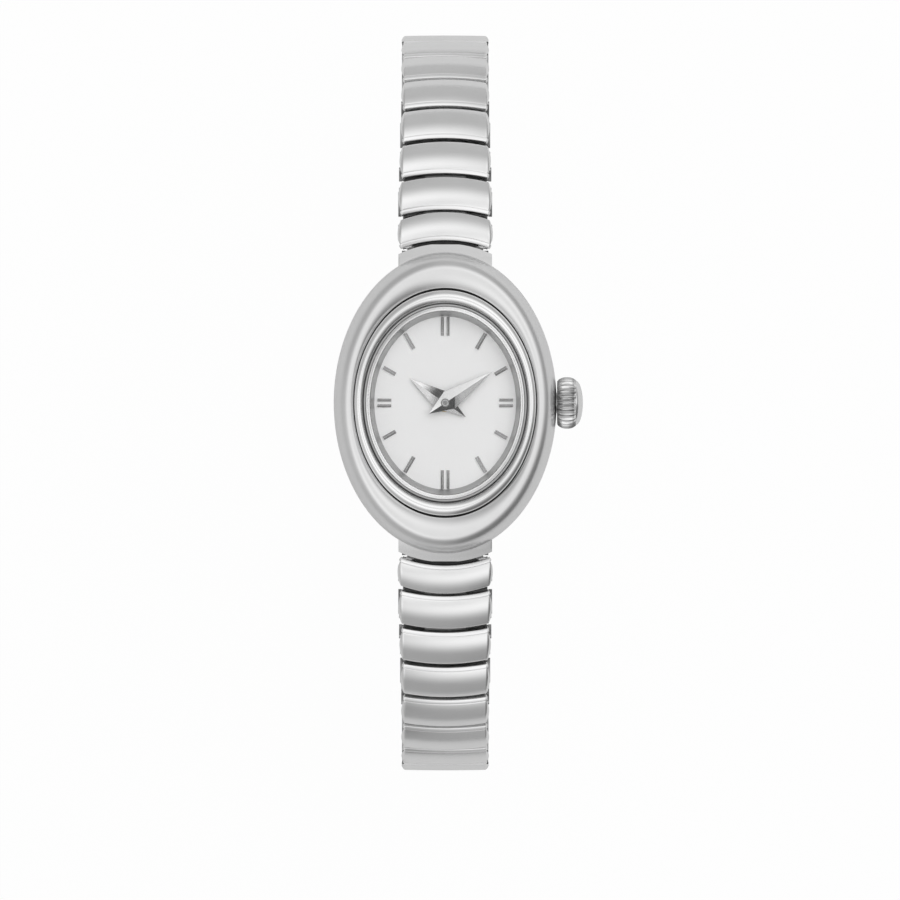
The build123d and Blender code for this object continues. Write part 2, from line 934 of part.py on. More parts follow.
def make_staple(side, half_width, upper, lower):
    """A flat bridge with two round legs, which enter an outer and an inner link from one side."""
    bridge_x = half_width - end_window_depth / 2
    leg_x = half_width - end_window_depth - leg_length
    span = math.hypot(upper[0] - lower[0], upper[1] - lower[1])
    slope = math.degrees(math.atan2(upper[1] - lower[1], upper[0] - lower[0]))
    plate = Rot(0, 0, slope) * SlotCenterToCenter(span, 2 * bridge_half_width)
    middle_y = (upper[0] + lower[0]) / 2
    middle_z = (upper[1] + lower[1]) / 2
    bridge = extrude(Plane.YZ * plate, bridge_thickness / 2, both=True)
    staple = Pos(side * bridge_x, middle_y, middle_z) * bridge
    ends = sorted((side * leg_x, side * bridge_x))
    for y, z in (upper, lower):
        staple += rod_x(leg_radius, ends[0], ends[1], y, z)
    return staple


def make_leaf_spring(index):
    """The flat spring that lies on the channel's floor between the staples."""
    half_width = channel_half_of(index) - spring_side_gap
    strip = rectangle_profile(
        -half_width, half_width, channel_floor, channel_floor + spring_thickness
    )
    return placed(link_frame(index)) * bowed(strip, bow_of(index), spring_half_length)


def make_end_hook():
    """The hooked tongue that carries the first link on the lug's bar."""
    root_y, root_z = to_section(link_frame(1), -channel_half_of(1) / 2, -inner_half_length / 4)
    tongue = rod_x(knuckle_radius, -knuckle_half_width, knuckle_half_width, bar_y, bar_z)
    arm_half = knuckle_radius / 2
    slope = math.degrees(math.atan2(bar_z - root_z, root_y - bar_y))
    reach = math.hypot(bar_z - root_z, root_y - bar_y)
    arm = block(-knuckle_half_width, knuckle_half_width, 0, reach, -arm_half, arm_half)
    tongue += Pos(0, bar_y, bar_z) * Rot(-slope, 0, 0) * arm
    bore_half = knuckle_half_width + overrun
    return tongue, rod_x(bar_radius + running_gap, -bore_half, bore_half, bar_y, bar_z)


def leg_place(index):
    """Where the staples that pull a link along enter its channel."""
    closed = -outer_leg_of(index)
    return closed if index % 2 else closed + slide_travel


def make_link(index, closes_loop):
    """All pieces of one link of the 12 o'clock run, where they lie."""
    half_width = half_width_of(index)
    here = link_frame(index)
    outer = placed(here) * make_outer_shell(index)
    if index == 1:
        tongue, bore = make_end_hook()
        outer = outer + tongue - bore
    pieces = [outer, make_leaf_spring(index)]
    if index < links_per_side or closes_loop:
        gap = gap_frame(index)
        pieces.append(placed(gap) * make_inner_shell(index))
        if index < links_per_side:
            next_leg = to_section(link_frame(index + 1), leg_place(index + 1), channel_middle())
        else:
            y, z = to_section(here, closing_leg_u, channel_middle())
            next_leg = (-y, z)
        for side in (-1, 1):
            upper = to_section(here, outer_leg_of(index), channel_middle())
            lower = to_section(gap, -inner_leg_u, inner_leg_w)
            pieces.append(make_staple(side, half_width, upper, lower))
            lower = to_section(gap, inner_leg_u, inner_leg_w)
            pieces.append(make_staple(side, half_width, next_leg, lower))
    return Compound(children=pieces)


def channel_middle():
    return (channel_floor + channel_roof) / 2


def make_spring_bars():
    bar = rod_x(bar_radius, -bar_half_length, bar_half_length, bar_y, bar_z)
    return Compound(children=[bar, Rot(0, 0, 180) * bar])


def make_nodes():
    nodes = {
        "case": make_case(),
        "case_back": make_case_back(),
        "back_gasket": make_back_gasket_ring(0),
        "bezel_ring": make_bezel_ring(),
        "crystal": make_crystal(),
        "crystal_gasket": make_crystal_gasket(),
        "flange_ring": make_flange_ring(),
        "dial": make_dial(),
        "hour_markers": make_hour_markers(),
        "minute_hand": make_minute_hand(),
        "hour_hand": make_hour_hand(),
        "cannon_pinion": make_cannon_pinion(),
        "minute_wheel": make_minute_wheel(),
        "hour_wheel": make_hour_wheel(),
        "main_plate": make_main_plate(),
        "battery": make_battery(),
        "motor_coil": make_motor_coil(),
        "circuit_board": make_circuit_board(),
        "winding_stem": make_winding_stem(),
        "crown": make_crown(),
        "crown_gasket": make_crown_gasket(),
        "spring_bars": make_spring_bars(),
    }
    for index in range(1, links_per_side + 1):
        nodes[f"link_12_{index:02d}"] = make_link(index, True)
        nodes[f"link_6_{index:02d}"] = Rot(0, 0, 180) * make_link(index, False)
    return nodes


os.makedirs("parts", exist_ok=True)
for name, shape in make_nodes().items():
    export_step(shape, f"parts/{name}.step")
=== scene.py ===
import math
import bmesh
import bpy
from mathutils import Matrix, Vector


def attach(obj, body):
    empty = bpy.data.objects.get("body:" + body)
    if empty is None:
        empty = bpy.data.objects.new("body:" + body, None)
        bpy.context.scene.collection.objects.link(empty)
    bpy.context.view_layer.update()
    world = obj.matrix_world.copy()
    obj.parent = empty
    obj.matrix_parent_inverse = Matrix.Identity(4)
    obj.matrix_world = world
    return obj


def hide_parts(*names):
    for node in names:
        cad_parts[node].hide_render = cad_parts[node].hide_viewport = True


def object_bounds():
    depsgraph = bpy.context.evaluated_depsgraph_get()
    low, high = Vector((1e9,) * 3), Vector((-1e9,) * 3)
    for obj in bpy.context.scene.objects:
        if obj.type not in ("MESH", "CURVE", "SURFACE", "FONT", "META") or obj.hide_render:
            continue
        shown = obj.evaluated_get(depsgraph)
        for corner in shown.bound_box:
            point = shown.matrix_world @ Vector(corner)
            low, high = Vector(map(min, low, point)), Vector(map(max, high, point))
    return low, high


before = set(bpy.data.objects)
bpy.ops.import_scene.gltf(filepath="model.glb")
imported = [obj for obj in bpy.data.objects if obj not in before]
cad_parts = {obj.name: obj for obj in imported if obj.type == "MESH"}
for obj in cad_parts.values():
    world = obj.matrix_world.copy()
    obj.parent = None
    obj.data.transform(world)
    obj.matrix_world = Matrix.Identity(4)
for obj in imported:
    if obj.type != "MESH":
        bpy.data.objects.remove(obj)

cad_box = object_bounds()

# Everything is modelled in millimetres and shrunk to metres when it is finished. An oval is given
# as half its width across and half its length along.
MM = 0.001

# Case
case_half = (9.29, 12.55)
bezel_half = (7.57, 9.39)
case_underside = 0.35
case_waist = 2.5
case_crest = 6.0
cavity_half = (6.6, 8.0)
recess_half = (7.73, 10.03)
back_seat = 0.6
ring_seat = 5.0
groove_half = (7.66, 9.5)
groove_rounding = 0.05
groove_wall_top = 5.5
groove_top = 5.62
# How far the dome and the flank draw in, as shares of the band between the outline and the bezel
crest_shares = (0.78, 0.47)
foot_share = 0.38
foot_power = 1.9
dome_fullness_share = 0.87
bezel_drop_share = 0.11
bezel_drop_power = 2.6
bezel_drop_shares = (0.15, 0.3, 0.45, 0.6, 0.75, 0.9)
dome_steps = 24
flank_steps = 8

# Lugs and the bars in them
hood_half_width = 3.9
hood_root_y = 8.6
hood_end_y = 13.2
hood_underside = 1.0
hood_root_top = 4.05
hood_end_top = 2.75
hood_bow = 9.1
hood_bow_centre_y = 4.17
lip_width = 0.34
lip_depth = 0.16
bar_y = 12.35
bar_z = 1.75
pocket_radius = 0.74
pocket_half_length = 2.72

# Dial and the ring round it
dial_top = 4.0
dial_half = (6.3, 7.7)
dial_opening_half = (5.8, 7.12)
ring_foot = 5.02
bezel_shoulder = 5.72
flange_top = 5.44

# Hands: angle from 12 o'clock, and the widest place that both kites share
minute_angle = 56.4
hour_angle = 304.7
shoulder_half_width = 0.84
shoulder_reach = 0.43

# Bars: inset from the dial's opening and length, from 12 o'clock to 3 o'clock
bar_places = [(0.04, 1.54), (0.11, 1.46), (0.23, 1.13), (0.25, 1.13)]

# Crown: places along x, and radii
crown_start = 9.33
crown_widest = 10.15
crown_radius = 2.165
grip_start = 9.42
grip_end = 10.88
cap_start = 10.86
cap_rise = 0.615
cap_radius = 1.86

# Bracelet layout, the same run of tilts and pitches as the part's
links_per_side = 19
first_gap = (12.75, 1.9)
first_pitch = 2.75
link_pitch = 3.22
link_gap = 0.37
start_tilt = 5.0
end_tilt = 180.0
upper_bend_rate = 0.36
lower_bend_rate = 0.52
link_half_widths = [4.03, 3.97, 3.88, 3.8]
end_link_half_width = 3.75
link_bows = [10.5, 14.3]
end_link_bow = 15.5
closing_bow = 150.0
bow_reference = 3.0
# How far the foot of the loop sinks when the bracelet is bent open and stretched
foot_travel = 9.3

# Outer shells: the edge with the lip as steps inwards and heights, the far edge as steps and drops
near_edge = [(0, 0.05), (0, 0.72), (0.012, 0.765), (0.04, 0.795)]
near_edge += [(0.27, 0.915), (0.29, 0.918), (0.305, 0.905), (0.32, 0.905)]
far_edge = [(0.06, 0.03), (0.02, 0.08), (0, 0.14)]
shell_underside = 0.05
crest_level = 1.213
crest_share = 0.17
crest_bend = 0.166
crest_rows = 24
end_insets = (0.4, 0.37, 0.33, 0.29, 0.24, 0.19, 0.14, 0.09, 0.05, 0.02, 0.0)
channel_floor = 0.3
channel_top = 0.85
# Staples: how far in from the links' sides they lie, and where their feet stand
staple_inset = 0.25
upper_foot_level = 0.575
lower_foot_reach = 0.55
lower_foot_level = -0.62


# Drawing and shaping


def clear_selection():
    bpy.ops.object.select_all(action="DESELECT")


def leave_edit():
    bpy.ops.object.mode_set(mode="OBJECT")


def move(way):
    bpy.ops.transform.translate(value=way)


def resize_about(centre, shares):
    bpy.ops.transform.resize(value=shares, center_override=centre)


def draw_on(way):
    """Extrudes the selected edges."""
    bpy.ops.mesh.extrude_edges_move(TRANSFORM_OT_translate={"value": way})


def draw_up(height):
    """Extrudes the selected faces upwards."""
    bpy.ops.mesh.extrude_region_move(TRANSFORM_OT_translate={"value": (0, 0, height)})


def open_piece(name):
    """Names the primitive just added and opens it for shaping."""
    piece = bpy.context.object
    piece.name = name
    bpy.ops.object.mode_set(mode="EDIT")
    return piece


def add_block(name, size, middle):
    """Adds a block and leaves it open for shaping."""
    clear_selection()
    bpy.ops.mesh.primitive_cube_add(size=1)
    block = open_piece(name)
    bpy.ops.transform.resize(value=size)
    move(middle)
    return block


def pick_points(test):
    """Selects only the points of the open piece that pass a test."""
    mesh = bmesh.from_edit_mesh(bpy.context.object.data)
    mesh.select_mode = {"VERT"}
    for point in mesh.verts:
        point.select = bool(test(point))
    mesh.select_flush_mode()
    bmesh.update_edit_mesh(bpy.context.object.data)


def pick(test):
    """Selects only the points of the open piece whose place passes a test."""
    pick_points(lambda point: test(point.co))


def pick_rims():
    """Selects the open edges of the open piece."""
    bpy.ops.mesh.select_all(action="DESELECT")
    bpy.ops.mesh.select_non_manifold(
        extend=False, use_wire=False, use_multi_face=False, use_non_contiguous=False, use_verts=False
    )


def draw_outline(name, points):
    """Draws a closed outline point by point, from a plane merged into its first point."""
    clear_selection()
    bpy.ops.mesh.primitive_plane_add(size=1)
    piece = open_piece(name)
    bpy.ops.mesh.merge(type="CENTER")
    move(points[0])
    for before, after in zip(points, points[1:]):
        step = Vector(after) - Vector(before)
        bpy.ops.mesh.extrude_vertices_move(TRANSFORM_OT_translate={"value": step})
    first, last = Vector(points[0]), Vector(points[-1])
    pick(lambda spot: min((spot - first).length, (spot - last).length) < 1e-5)
    bpy.ops.mesh.edge_face_add()
    bpy.ops.mesh.select_all(action="SELECT")
    return piece


def draw_loops(loops):
    """Extrudes the open circle into ovals, each given as half across, half along and height."""
    across, along, height = 1, 1, 0
    for number, (next_across, next_along, next_height) in enumerate(loops):
        rise = (0, 0, next_height - height)
        if number:
            draw_on(rise)
        else:
            move(rise)
        resize_about((0, 0, next_height), (next_across / across, next_along / along, 1))
        across, along, height = next_across, next_along, next_height


def draw_ovals(name, loops, steps):
    clear_selection()
    bpy.ops.mesh.primitive_circle_add(vertices=steps, radius=1)
    piece = open_piece(name)
    draw_loops(loops)
    return piece


def join_rims():
    pick_rims()
    bpy.ops.mesh.bridge_edge_loops()


def fill_rims():
    pick_rims()
    bpy.ops.mesh.fill_holes(sides=0)


def close_shape(piece):
    """Turns the faces of the open piece outwards and closes the piece."""
    bpy.ops.mesh.select_all(action="SELECT")
    bpy.ops.mesh.normals_make_consistent(inside=False)
    leave_edit()
    return piece


def oval_ring(name, loops, steps=192):
    piece = draw_ovals(name, loops, steps)
    join_rims()
    return close_shape(piece)


def oval_slab(name, loops, steps=192):
    piece = draw_ovals(name, loops, steps)
    fill_rims()
    return close_shape(piece)


def loops_along(half, profile):
    """Loops of one oval, grown by the first value of each pair and at the height of the second."""
    return [(half[0] + growth, half[1] + growth, height) for growth, height in profile]


def turned_ring(name, profile, steps):
    """A round ring from pairs of radius and height."""
    return oval_ring(name, loops_along((0, 0), profile), steps)


def turned_slab(name, profile, steps):
    return oval_slab(name, loops_along((0, 0), profile), steps)


def use_only(*pieces):
    clear_selection()
    for piece in pieces:
        piece.select_set(True)
    bpy.context.view_layer.objects.active = pieces[0]


def apply_modifier(piece, kind, **settings):
    use_only(piece)
    modifier = piece.modifiers.new(kind.title(), kind)
    for name, value in settings.items():
        setattr(modifier, name, value)
    bpy.ops.object.modifier_apply(modifier=modifier.name)


def cut(piece, tool, operation="DIFFERENCE"):
    apply_modifier(piece, "BOOLEAN", operation=operation, object=tool, solver="EXACT")
    bpy.data.objects.remove(tool)


def join(name, pieces):
    use_only(*pieces)
    if len(pieces) > 1:
        bpy.ops.object.join()
    piece = bpy.context.object
    piece.name = name
    return piece


def copy_of(piece):
    double = piece.copy()
    double.data = piece.data.copy()
    bpy.context.scene.collection.objects.link(double)
    return double


def place(piece, matrix):
    """Moves a piece, and leaves the move in its mesh."""
    use_only(piece)
    piece.matrix_world = matrix @ piece.matrix_world
    bpy.ops.object.transform_apply(location=True, rotation=True, scale=True)
    return piece


def paint(piece, finish):
    piece.data.materials.clear()
    piece.data.materials.append(finish)
    return piece


def paint_faces(piece, finish, test):
    """Gives a second finish to the faces whose middle passes a test."""
    piece.data.materials.append(finish)
    last = len(piece.data.materials) - 1
    for face in piece.data.polygons:
        if test(face.center):
            face.material_index = last
    return piece


def finish_piece(piece, body, nodes=(), angle=32):
    """Shrinks a piece to metres, smooths its shading and hangs it on its body."""
    use_only(piece)
    piece.scale = (MM, MM, MM)
    bpy.ops.object.transform_apply(location=True, rotation=True, scale=True)
    bpy.ops.object.shade_smooth_by_angle(angle=math.radians(angle))
    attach(piece, body)
    if nodes:
        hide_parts(*nodes)
    return piece


# From upright to along x
lay_along_x = Matrix.Rotation(math.pi / 2, 4, "Y")


# Materials

# Noise scales are features per metre, and depths are metres
cloud_scale = 900.0
mottle_scale = 2500.0
hairline_scales = (400, 9000, 400)
relief_depth = 0.00001


class Signal:
    """A value inside a material; arithmetic on it adds Math nodes."""

    def __init__(self, finish, socket):
        self.finish = finish
        self.socket = socket

    def blend(self, operation, first, second):
        return self.finish.node("Math", {"operation": operation}, {0: first, 1: second})

    def __add__(self, other):
        return self.blend("ADD", self, other)

    __radd__ = __add__

    def __mul__(self, other):
        return self.blend("MULTIPLY", self, other)

    def __sub__(self, other):
        return self.blend("SUBTRACT", self, other)

    def __rsub__(self, other):
        return self.blend("SUBTRACT", other, self)

    def __pow__(self, other):
        return self.blend("POWER", self, other)

    def between(self, low, high):
        """0 below low and 1 above high, smoothly; the other way round when low is the larger."""
        settings = {"interpolation_type": "SMOOTHSTEP"}
        ends = {1: min(low, high), 2: max(low, high), 3: float(low > high), 4: float(low < high)}
        return self.finish.node("MapRange", settings, {0: self, **ends})


class Finish:
    """Builds one material, or the world's light, node by node."""

    def __init__(self, owner):
        owner.use_nodes = True
        self.owner = owner
        self.tree = owner.node_tree
        self.tree.nodes.clear()

    def node(self, kind, settings=None, sockets=None, output=0):
        """Adds a node, links or sets its sockets and gives back one of its outputs, if it has any."""
        made = self.tree.nodes.new("ShaderNode" + kind)
        for name, value in (settings or {}).items():
            setattr(made, name, value)
        for key, value in (sockets or {}).items():
            if isinstance(value, Signal):
                self.tree.links.new(value.socket, made.inputs[key])
            else:
                made.inputs[key].default_value = value
        return Signal(self, made.outputs[output]) if made.outputs else None

    def mixed_colour(self, share, first, second):
        """A colour that goes from the first to the second as share goes from 0 to 1."""
        return self.node("Mix", {"data_type": "RGBA"}, {0: share, 6: first, 7: second}, 2)

    def place(self, scale=(1, 1, 1), turn=(0, 0, 0)):
        spot = self.node("TexCoord", output=3)
        return self.node("Mapping", sockets={"Vector": spot, "Scale": scale, "Rotation": turn})

    def axes(self, spot, count):
        """The first values of a place or a direction, as many as are wanted."""
        return [self.node("SeparateXYZ", sockets={0: spot}, output=axis) for axis in range(count)]

    def noise(self, spot, scale, detail=2.0, roughness=0.5):
        sockets = {"Vector": spot, "Scale": scale, "Detail": detail, "Roughness": roughness}
        return self.node("TexNoise", sockets=sockets)

    def hairlines(self, turn=0.0):
        return self.noise(self.place(hairline_scales, (0, 0, turn)), 1.0, 2.0, 0.6)

    def bump(self, height, strength):
        sockets = {"Height": height, "Strength": strength, "Distance": relief_depth}
        return self.node("Bump", sockets=sockets)

    def principled(self, sockets):
        return self.node("BsdfPrincipled", sockets=sockets)

    def surface(self, shader):
        kind = "OutputWorld" if isinstance(self.owner, bpy.types.World) else "OutputMaterial"
        self.node(kind, sockets={"Surface": shader})
        return self.owner


def grey(level):
    return (level, level, level, 1.0)


def toned(tone, share):
    """A tone made darker or lighter."""
    return (*(min(1.0, part * share) for part in tone[:3]), 1.0)


def metal(name, tone, roughness, grain=0.03, scratch_turn=0.0, wear=0.04):
    """Worked metal: a cloudy roughness, hairlines along one direction and a faint unevenness."""
    finish = Finish(bpy.data.materials.new(name))
    cloud = finish.noise(finish.place(), cloud_scale, 3.0)
    lines = finish.hairlines(scratch_turn)
    shine = cloud * wear + lines * grain + (roughness - 0.5 * (wear + grain))
    deep, pale = toned(tone, 0.95), toned(tone, 1.04)
    colour = finish.mixed_colour(cloud * 0.6 + lines * 0.4, deep, pale)
    relief = finish.bump(lines * 0.5 + cloud * 0.5, 0.04)
    sockets = {"Base Color": colour, "Metallic": 1.0, "Roughness": shine, "Normal": relief}
    return finish.surface(finish.principled(sockets))


def shaded_metal(name, inner, outer, near, far):
    """Brushed metal with a painted reflection: its tone grows lighter away from the middle of the dial.
    """
    finish = Finish(bpy.data.materials.new(name))
    x, y = finish.axes(finish.node("TexCoord", output=3), 2)
    reach = ((x * x + y * y) ** 0.5).between(near, far)
    lines = finish.hairlines()
    sockets = {
        "Base Color": finish.mixed_colour(reach, inner, outer),
        "Metallic": 1.0,
        "Roughness": lines * 0.1 + 0.15,
        "Normal": finish.bump(lines, 0.04),
    }
    return finish.surface(finish.principled(sockets))


def plain_solid(name, tone, roughness, depth=0.1):
    """A coated, moulded or lacquered surface with a fine mottle."""
    finish = Finish(bpy.data.materials.new(name))
    mottle = finish.noise(finish.place(), mottle_scale, 3.0)
    sockets = {
        "Base Color": finish.mixed_colour(mottle, toned(tone, 1 - depth), tone),
        "Roughness": mottle * 0.1 + (roughness - 0.05),
        "Normal": finish.bump(mottle, 0.08),
    }
    return finish.surface(finish.principled(sockets))


def dial_lacquer():
    """Silver-white lacquer over a fine brushing that fans out from the hands."""
    finish = Finish(bpy.data.materials.new("dial_lacquer"))
    x, y = finish.axes(finish.node("TexCoord", output=3), 2)
    turn = finish.node("Math", {"operation": "ARCTAN2"}, {0: y, 1: x})
    rays = finish.node("TexNoise", {"noise_dimensions": "1D"}, {"W": turn, "Scale": 90.0, "Detail": 4.0})
    sockets = {
        "Base Color": finish.mixed_colour(rays, grey(0.88), grey(0.96)),
        "Metallic": 0.12,
        "Roughness": rays * 0.12 + 0.3,
        "Coat Weight": 0.3,
        "Coat Roughness": 0.08,
        "Normal": finish.bump(rays, 0.05),
    }
    return finish.surface(finish.principled(sockets))


def crystal_glass():
    """Clear mineral glass, which lets the lamp's light through to the dial."""
    finish = Finish(bpy.data.materials.new("crystal_glass"))
    haze = finish.noise(finish.place(), 400.0)
    glass = finish.principled(
        {"Base Color": grey(1.0), "Roughness": haze * 0.01, "IOR": 1.5, "Transmission Weight": 1.0}
    )
    shadow_ray = finish.node("LightPath", output=1)
    clear = finish.node("BsdfTransparent", sockets={"Color": grey(0.96)})
    return finish.surface(finish.node("MixShader", sockets={0: shadow_ray, 1: glass, 2: clear}))


steel = metal("polished_steel", grey(0.8), 0.3)
lug_steel = metal("lug_steel", grey(0.97), 0.25)
link_steel = metal("bracelet_steel", grey(0.86), 0.24, scratch_turn=1.57)
bright_steel = metal("mirror_steel", grey(0.88), 0.14, 0.02, wear=0.02)
# A brighter steel for the links' lip, painted as a highlight line along that edge
painted_highlight_lip_steel = metal("painted_highlight_lip", grey(0.96), 0.3, 0.02, wear=0.02)
# Near-black steel that is painted shade, put on walls, recesses and hooks that lie in shadow
painted_shade_steel = metal("shaded_steel", grey(0.1), 0.5)
satin_steel = metal("satin_steel", grey(0.7), 0.34, 0.12)
# The inner shells' steel is painted darker as painted shade for the gaps between links
painted_shade_inner_steel = metal("inner_link_painted_shade_steel", grey(0.28), 0.35)
ring_metal = metal("satin_ring", grey(0.45), 0.45, 0.08)
bar_metal = metal("polished_bars", grey(0.5), 0.12, 0.02)
hand_metal = metal("polished_hands", grey(0.92), 0.14, 0.02)
# The hands' facet finishes below are painted reflections: lighter, darker or graded tones for what each
# facet reflects
grey_painted_reflection_facet = shaded_metal("brushed_painted_reflection_facet", grey(0.3), grey(0.62), 0.0006, 0.0016)
shaded_facet = shaded_metal("shaded_facet", grey(0.05), grey(0.85), 0.0011, 0.0026)
soft_painted_reflection_facet = metal("soft_painted_reflection_facet", grey(0.45), 0.2, 0.1)
dark_painted_reflection_facet = metal("black_painted_reflection_facet", grey(0.04), 0.25, 0.1)
pin_metal = metal("turned_pin", grey(0.28), 0.25)
crown_metal = metal("crown_steel", grey(0.84), 0.2, 0.02)
# A darker steel painted into the crown's flutes and on its side by the case as painted shade
crown_painted_shade_metal = metal("crown_groove_painted_shade", grey(0.5), 0.3)
ring_top = metal("ring_edge", grey(0.85), 0.25)
staple_metal = metal("staple_steel", grey(0.5), 0.35)
turned_steel = metal("turned_steel", grey(0.55), 0.22)
brass = metal("turned_brass", (0.72, 0.55, 0.26, 1), 0.28)
nickel_brass = metal("movement_brass", (0.66, 0.64, 0.56, 1), 0.35, 0.1)
copper = metal("copper_winding", (0.72, 0.35, 0.18, 1), 0.3, 0.15)
rubber = plain_solid("black_rubber", grey(0.03), 0.7)
grey_gasket = plain_solid("grey_gasket", grey(0.34), 0.4)
board_lacquer = plain_solid("green_board", (0.05, 0.2, 0.1, 1), 0.4, 0.3)
dial_white = dial_lacquer()
crystal_clear = crystal_glass()


# Case


def case_loop(across_share, along_share, height):
    """An oval on the case's surface, drawn in from its outline."""
    across = case_half[0] - across_share * (case_half[0] - bezel_half[0])
    along = case_half[1] - along_share * (case_half[1] - bezel_half[1])
    return across, along, height


def flank_loops():
    """From the foot of the case up to its widest place."""
    loops = []
    for step in range(flank_steps):
        rise = step / flank_steps
        inset = foot_share * (1 - rise) ** foot_power
        loops.append(case_loop(inset, inset, case_underside + rise * (case_waist - case_underside)))
    return loops


def dome_loops():
    """From the widest place over the crest and down to the bezel."""
    loops = []
    height = case_crest - case_waist
    for step in range(dome_steps + 1):
        turn = math.pi / 2 * step / dome_steps
        inset = 1 - max(0.0, math.cos(turn)) ** dome_fullness_share
        rise = math.sin(turn) ** dome_fullness_share
        across, along = (crest * inset for crest in crest_shares)
        loops.append(case_loop(across, along, case_waist + height * rise))
    for share in bezel_drop_shares:
        across, along = (crest + share * (1 - crest) for crest in crest_shares)
        drop = bezel_drop_share * height * share**bezel_drop_power
        loops.append(case_loop(across, along, case_crest - drop))
    return loops


def make_case():
    loops = loops_along(cavity_half, [(0, ring_seat), (0, back_seat)])
    loops += loops_along(recess_half, [(0, back_seat), (0, case_underside)])
    loops += flank_loops() + dome_loops()
    mouth = [(groove_rounding, groove_top), (0.3 * groove_rounding, groove_top - groove_rounding)]
    loops += loops_along(groove_half, mouth + [(0, groove_wall_top), (0, ring_seat)])
    return oval_ring("case_body", loops)


def in_groove_painted_shade(spot):
    """The wall that the bezel ring stands in, and all that lies inside it, where shade is painted."""
    across, along = (half + groove_rounding for half in groove_half)
    inward = math.hypot(spot.x / across, spot.y / along) < 1.0
    return inward and spot.z < groove_top - 0.04


def bow_hood(hood):
    """Ends the hood in the bow of the link beside it, with a lowered lip along that edge."""
    edge = turned_slab("edge", [(hood_bow, 0), (hood_bow, 5)], 256)
    cut(hood, place(edge, Matrix.Translation((0, hood_bow_centre_y, 0))), "INTERSECT")
    inner, outer, low, high = hood_bow - lip_width, hood_bow + 0.8, -lip_depth, 2
    step = turned_ring("step", [(inner, low), (inner, high), (outer, high), (outer, low)], 256)
    fall = math.atan((hood_root_top - hood_end_top) / (hood_end_y - hood_root_y))
    slope = Matrix.Translation((0, hood_end_y, hood_end_top)) @ Matrix.Rotation(-fall, 4, "X")
    cut(hood, place(step, slope @ Matrix.Translation((0, hood_bow_centre_y - hood_end_y, 0))))


def hollow_hood(hood):
    """Cuts the round pocket of the spring bar, and the mouth through which the first link enters."""
    ends = [(pocket_radius, -pocket_half_length), (pocket_radius, pocket_half_length)]
    pocket = turned_slab("pocket", ends, 64)
    cut(hood, place(pocket, Matrix.Translation((0, bar_y, bar_z)) @ lay_along_x))
    length, height, top = 1.4, 2, 2.5
    mouth = add_block(
        "mouth", (2 * pocket_half_length, length, height), (0, bar_y + length / 2, top - height / 2)
    )
    leave_edit()
    cut(hood, mouth)


def make_lug(name, turn):
    """A hood over the spring bar, which falls away from the case."""
    length, height = hood_end_y - hood_root_y, hood_end_top - hood_underside
    middle = (0, hood_root_y + length / 2, hood_underside + height / 2)
    hood = add_block(name, (2 * hood_half_width, length, height), middle)
    pick(lambda spot: spot.z > middle[2] and spot.y < middle[1])
    move((0, 0, hood_root_top - hood_end_top))
    leave_edit()
    bow_hood(hood)
    hollow_hood(hood)
    apply_modifier(hood, "BEVEL", width=0.05, segments=3, limit_method="ANGLE", angle_limit=0.6)
    return place(hood, Matrix.Rotation(turn, 4, "Z"))


def make_crown_tube():
    bore, outside, start, end, rounding = 0.5, 0.85, 7.4, 10.7, 0.04
    profile = [(bore, start), (outside, start), (outside, end - rounding), (outside - rounding, end)]
    tube = turned_ring("crown_tube", profile + [(bore, end)], 64)
    return place(tube, Matrix.Translation((0, 0, case_waist)) @ lay_along_x)


# The groove's wall and everything inside it are painted near-black as painted shade
case_body = paint_faces(paint(make_case(), steel), painted_shade_steel, in_groove_painted_shade)
finish_piece(case_body, "root", ["case"])
finish_piece(paint(make_lug("lug_12", 0), lug_steel), "root", ["case"], angle=18)
finish_piece(paint(make_lug("lug_6", math.pi), lug_steel), "root", ["case"], angle=18)
finish_piece(paint(make_crown_tube(), turned_steel), "root", ["case"])


# Bezel, crystal and the ring round the dial


def make_bezel():
    """A ring with a round top that stands on straight walls."""
    inner_half, rise, fullness_share, steps = (6.8, 8.23), 0.48, 0.88, 14
    loops = [(*inner_half, ring_foot), (*bezel_half, ring_foot)]
    for step in range(steps + 1):
        turn = math.pi * step / steps
        share = (1 - math.cos(turn)) / 2
        across, along = (out + share * (inner - out) for out, inner in zip(bezel_half, inner_half))
        height = bezel_shoulder + rise * max(0.0, math.sin(turn)) ** fullness_share
        loops.append((across, along, height))
    return oval_ring("bezel_ring_polished", loops)


def make_gasket():
    inner_half, outer_half, top, rounding = (6.61, 8.03), (6.77, 8.2), 6.07, 0.05
    loops = loops_along(inner_half, [(0, ring_foot)])
    loops += loops_along(outer_half, [(0, ring_foot), (0, top - rounding), (-rounding, top)])
    loops += loops_along(inner_half, [(rounding, top), (0, top - rounding)])
    return oval_ring("crystal_gasket_ring", loops)


def make_crystal():
    """A bevelled edge, then rings over a low dome."""
    half, bevel, edge_top, dome_rise = (6.58, 8.0), 0.2, 6.35, 0.3
    ring_shares = (0.95, 0.88, 0.78, 0.66, 0.52, 0.36, 0.2, 0.08)
    loops = loops_along(half, [(-0.08, 5.5), (0, 5.56), (0, 6.12), (-0.01, 6.17), (-0.17, 6.33)])
    loops.append((half[0] - bevel, half[1] - bevel, edge_top))
    across, along, _ = loops[-1]
    for share in ring_shares:
        loops.append((across * share, along * share, edge_top + dome_rise * (1 - share**2)))
    return oval_slab("crystal_domed", loops)


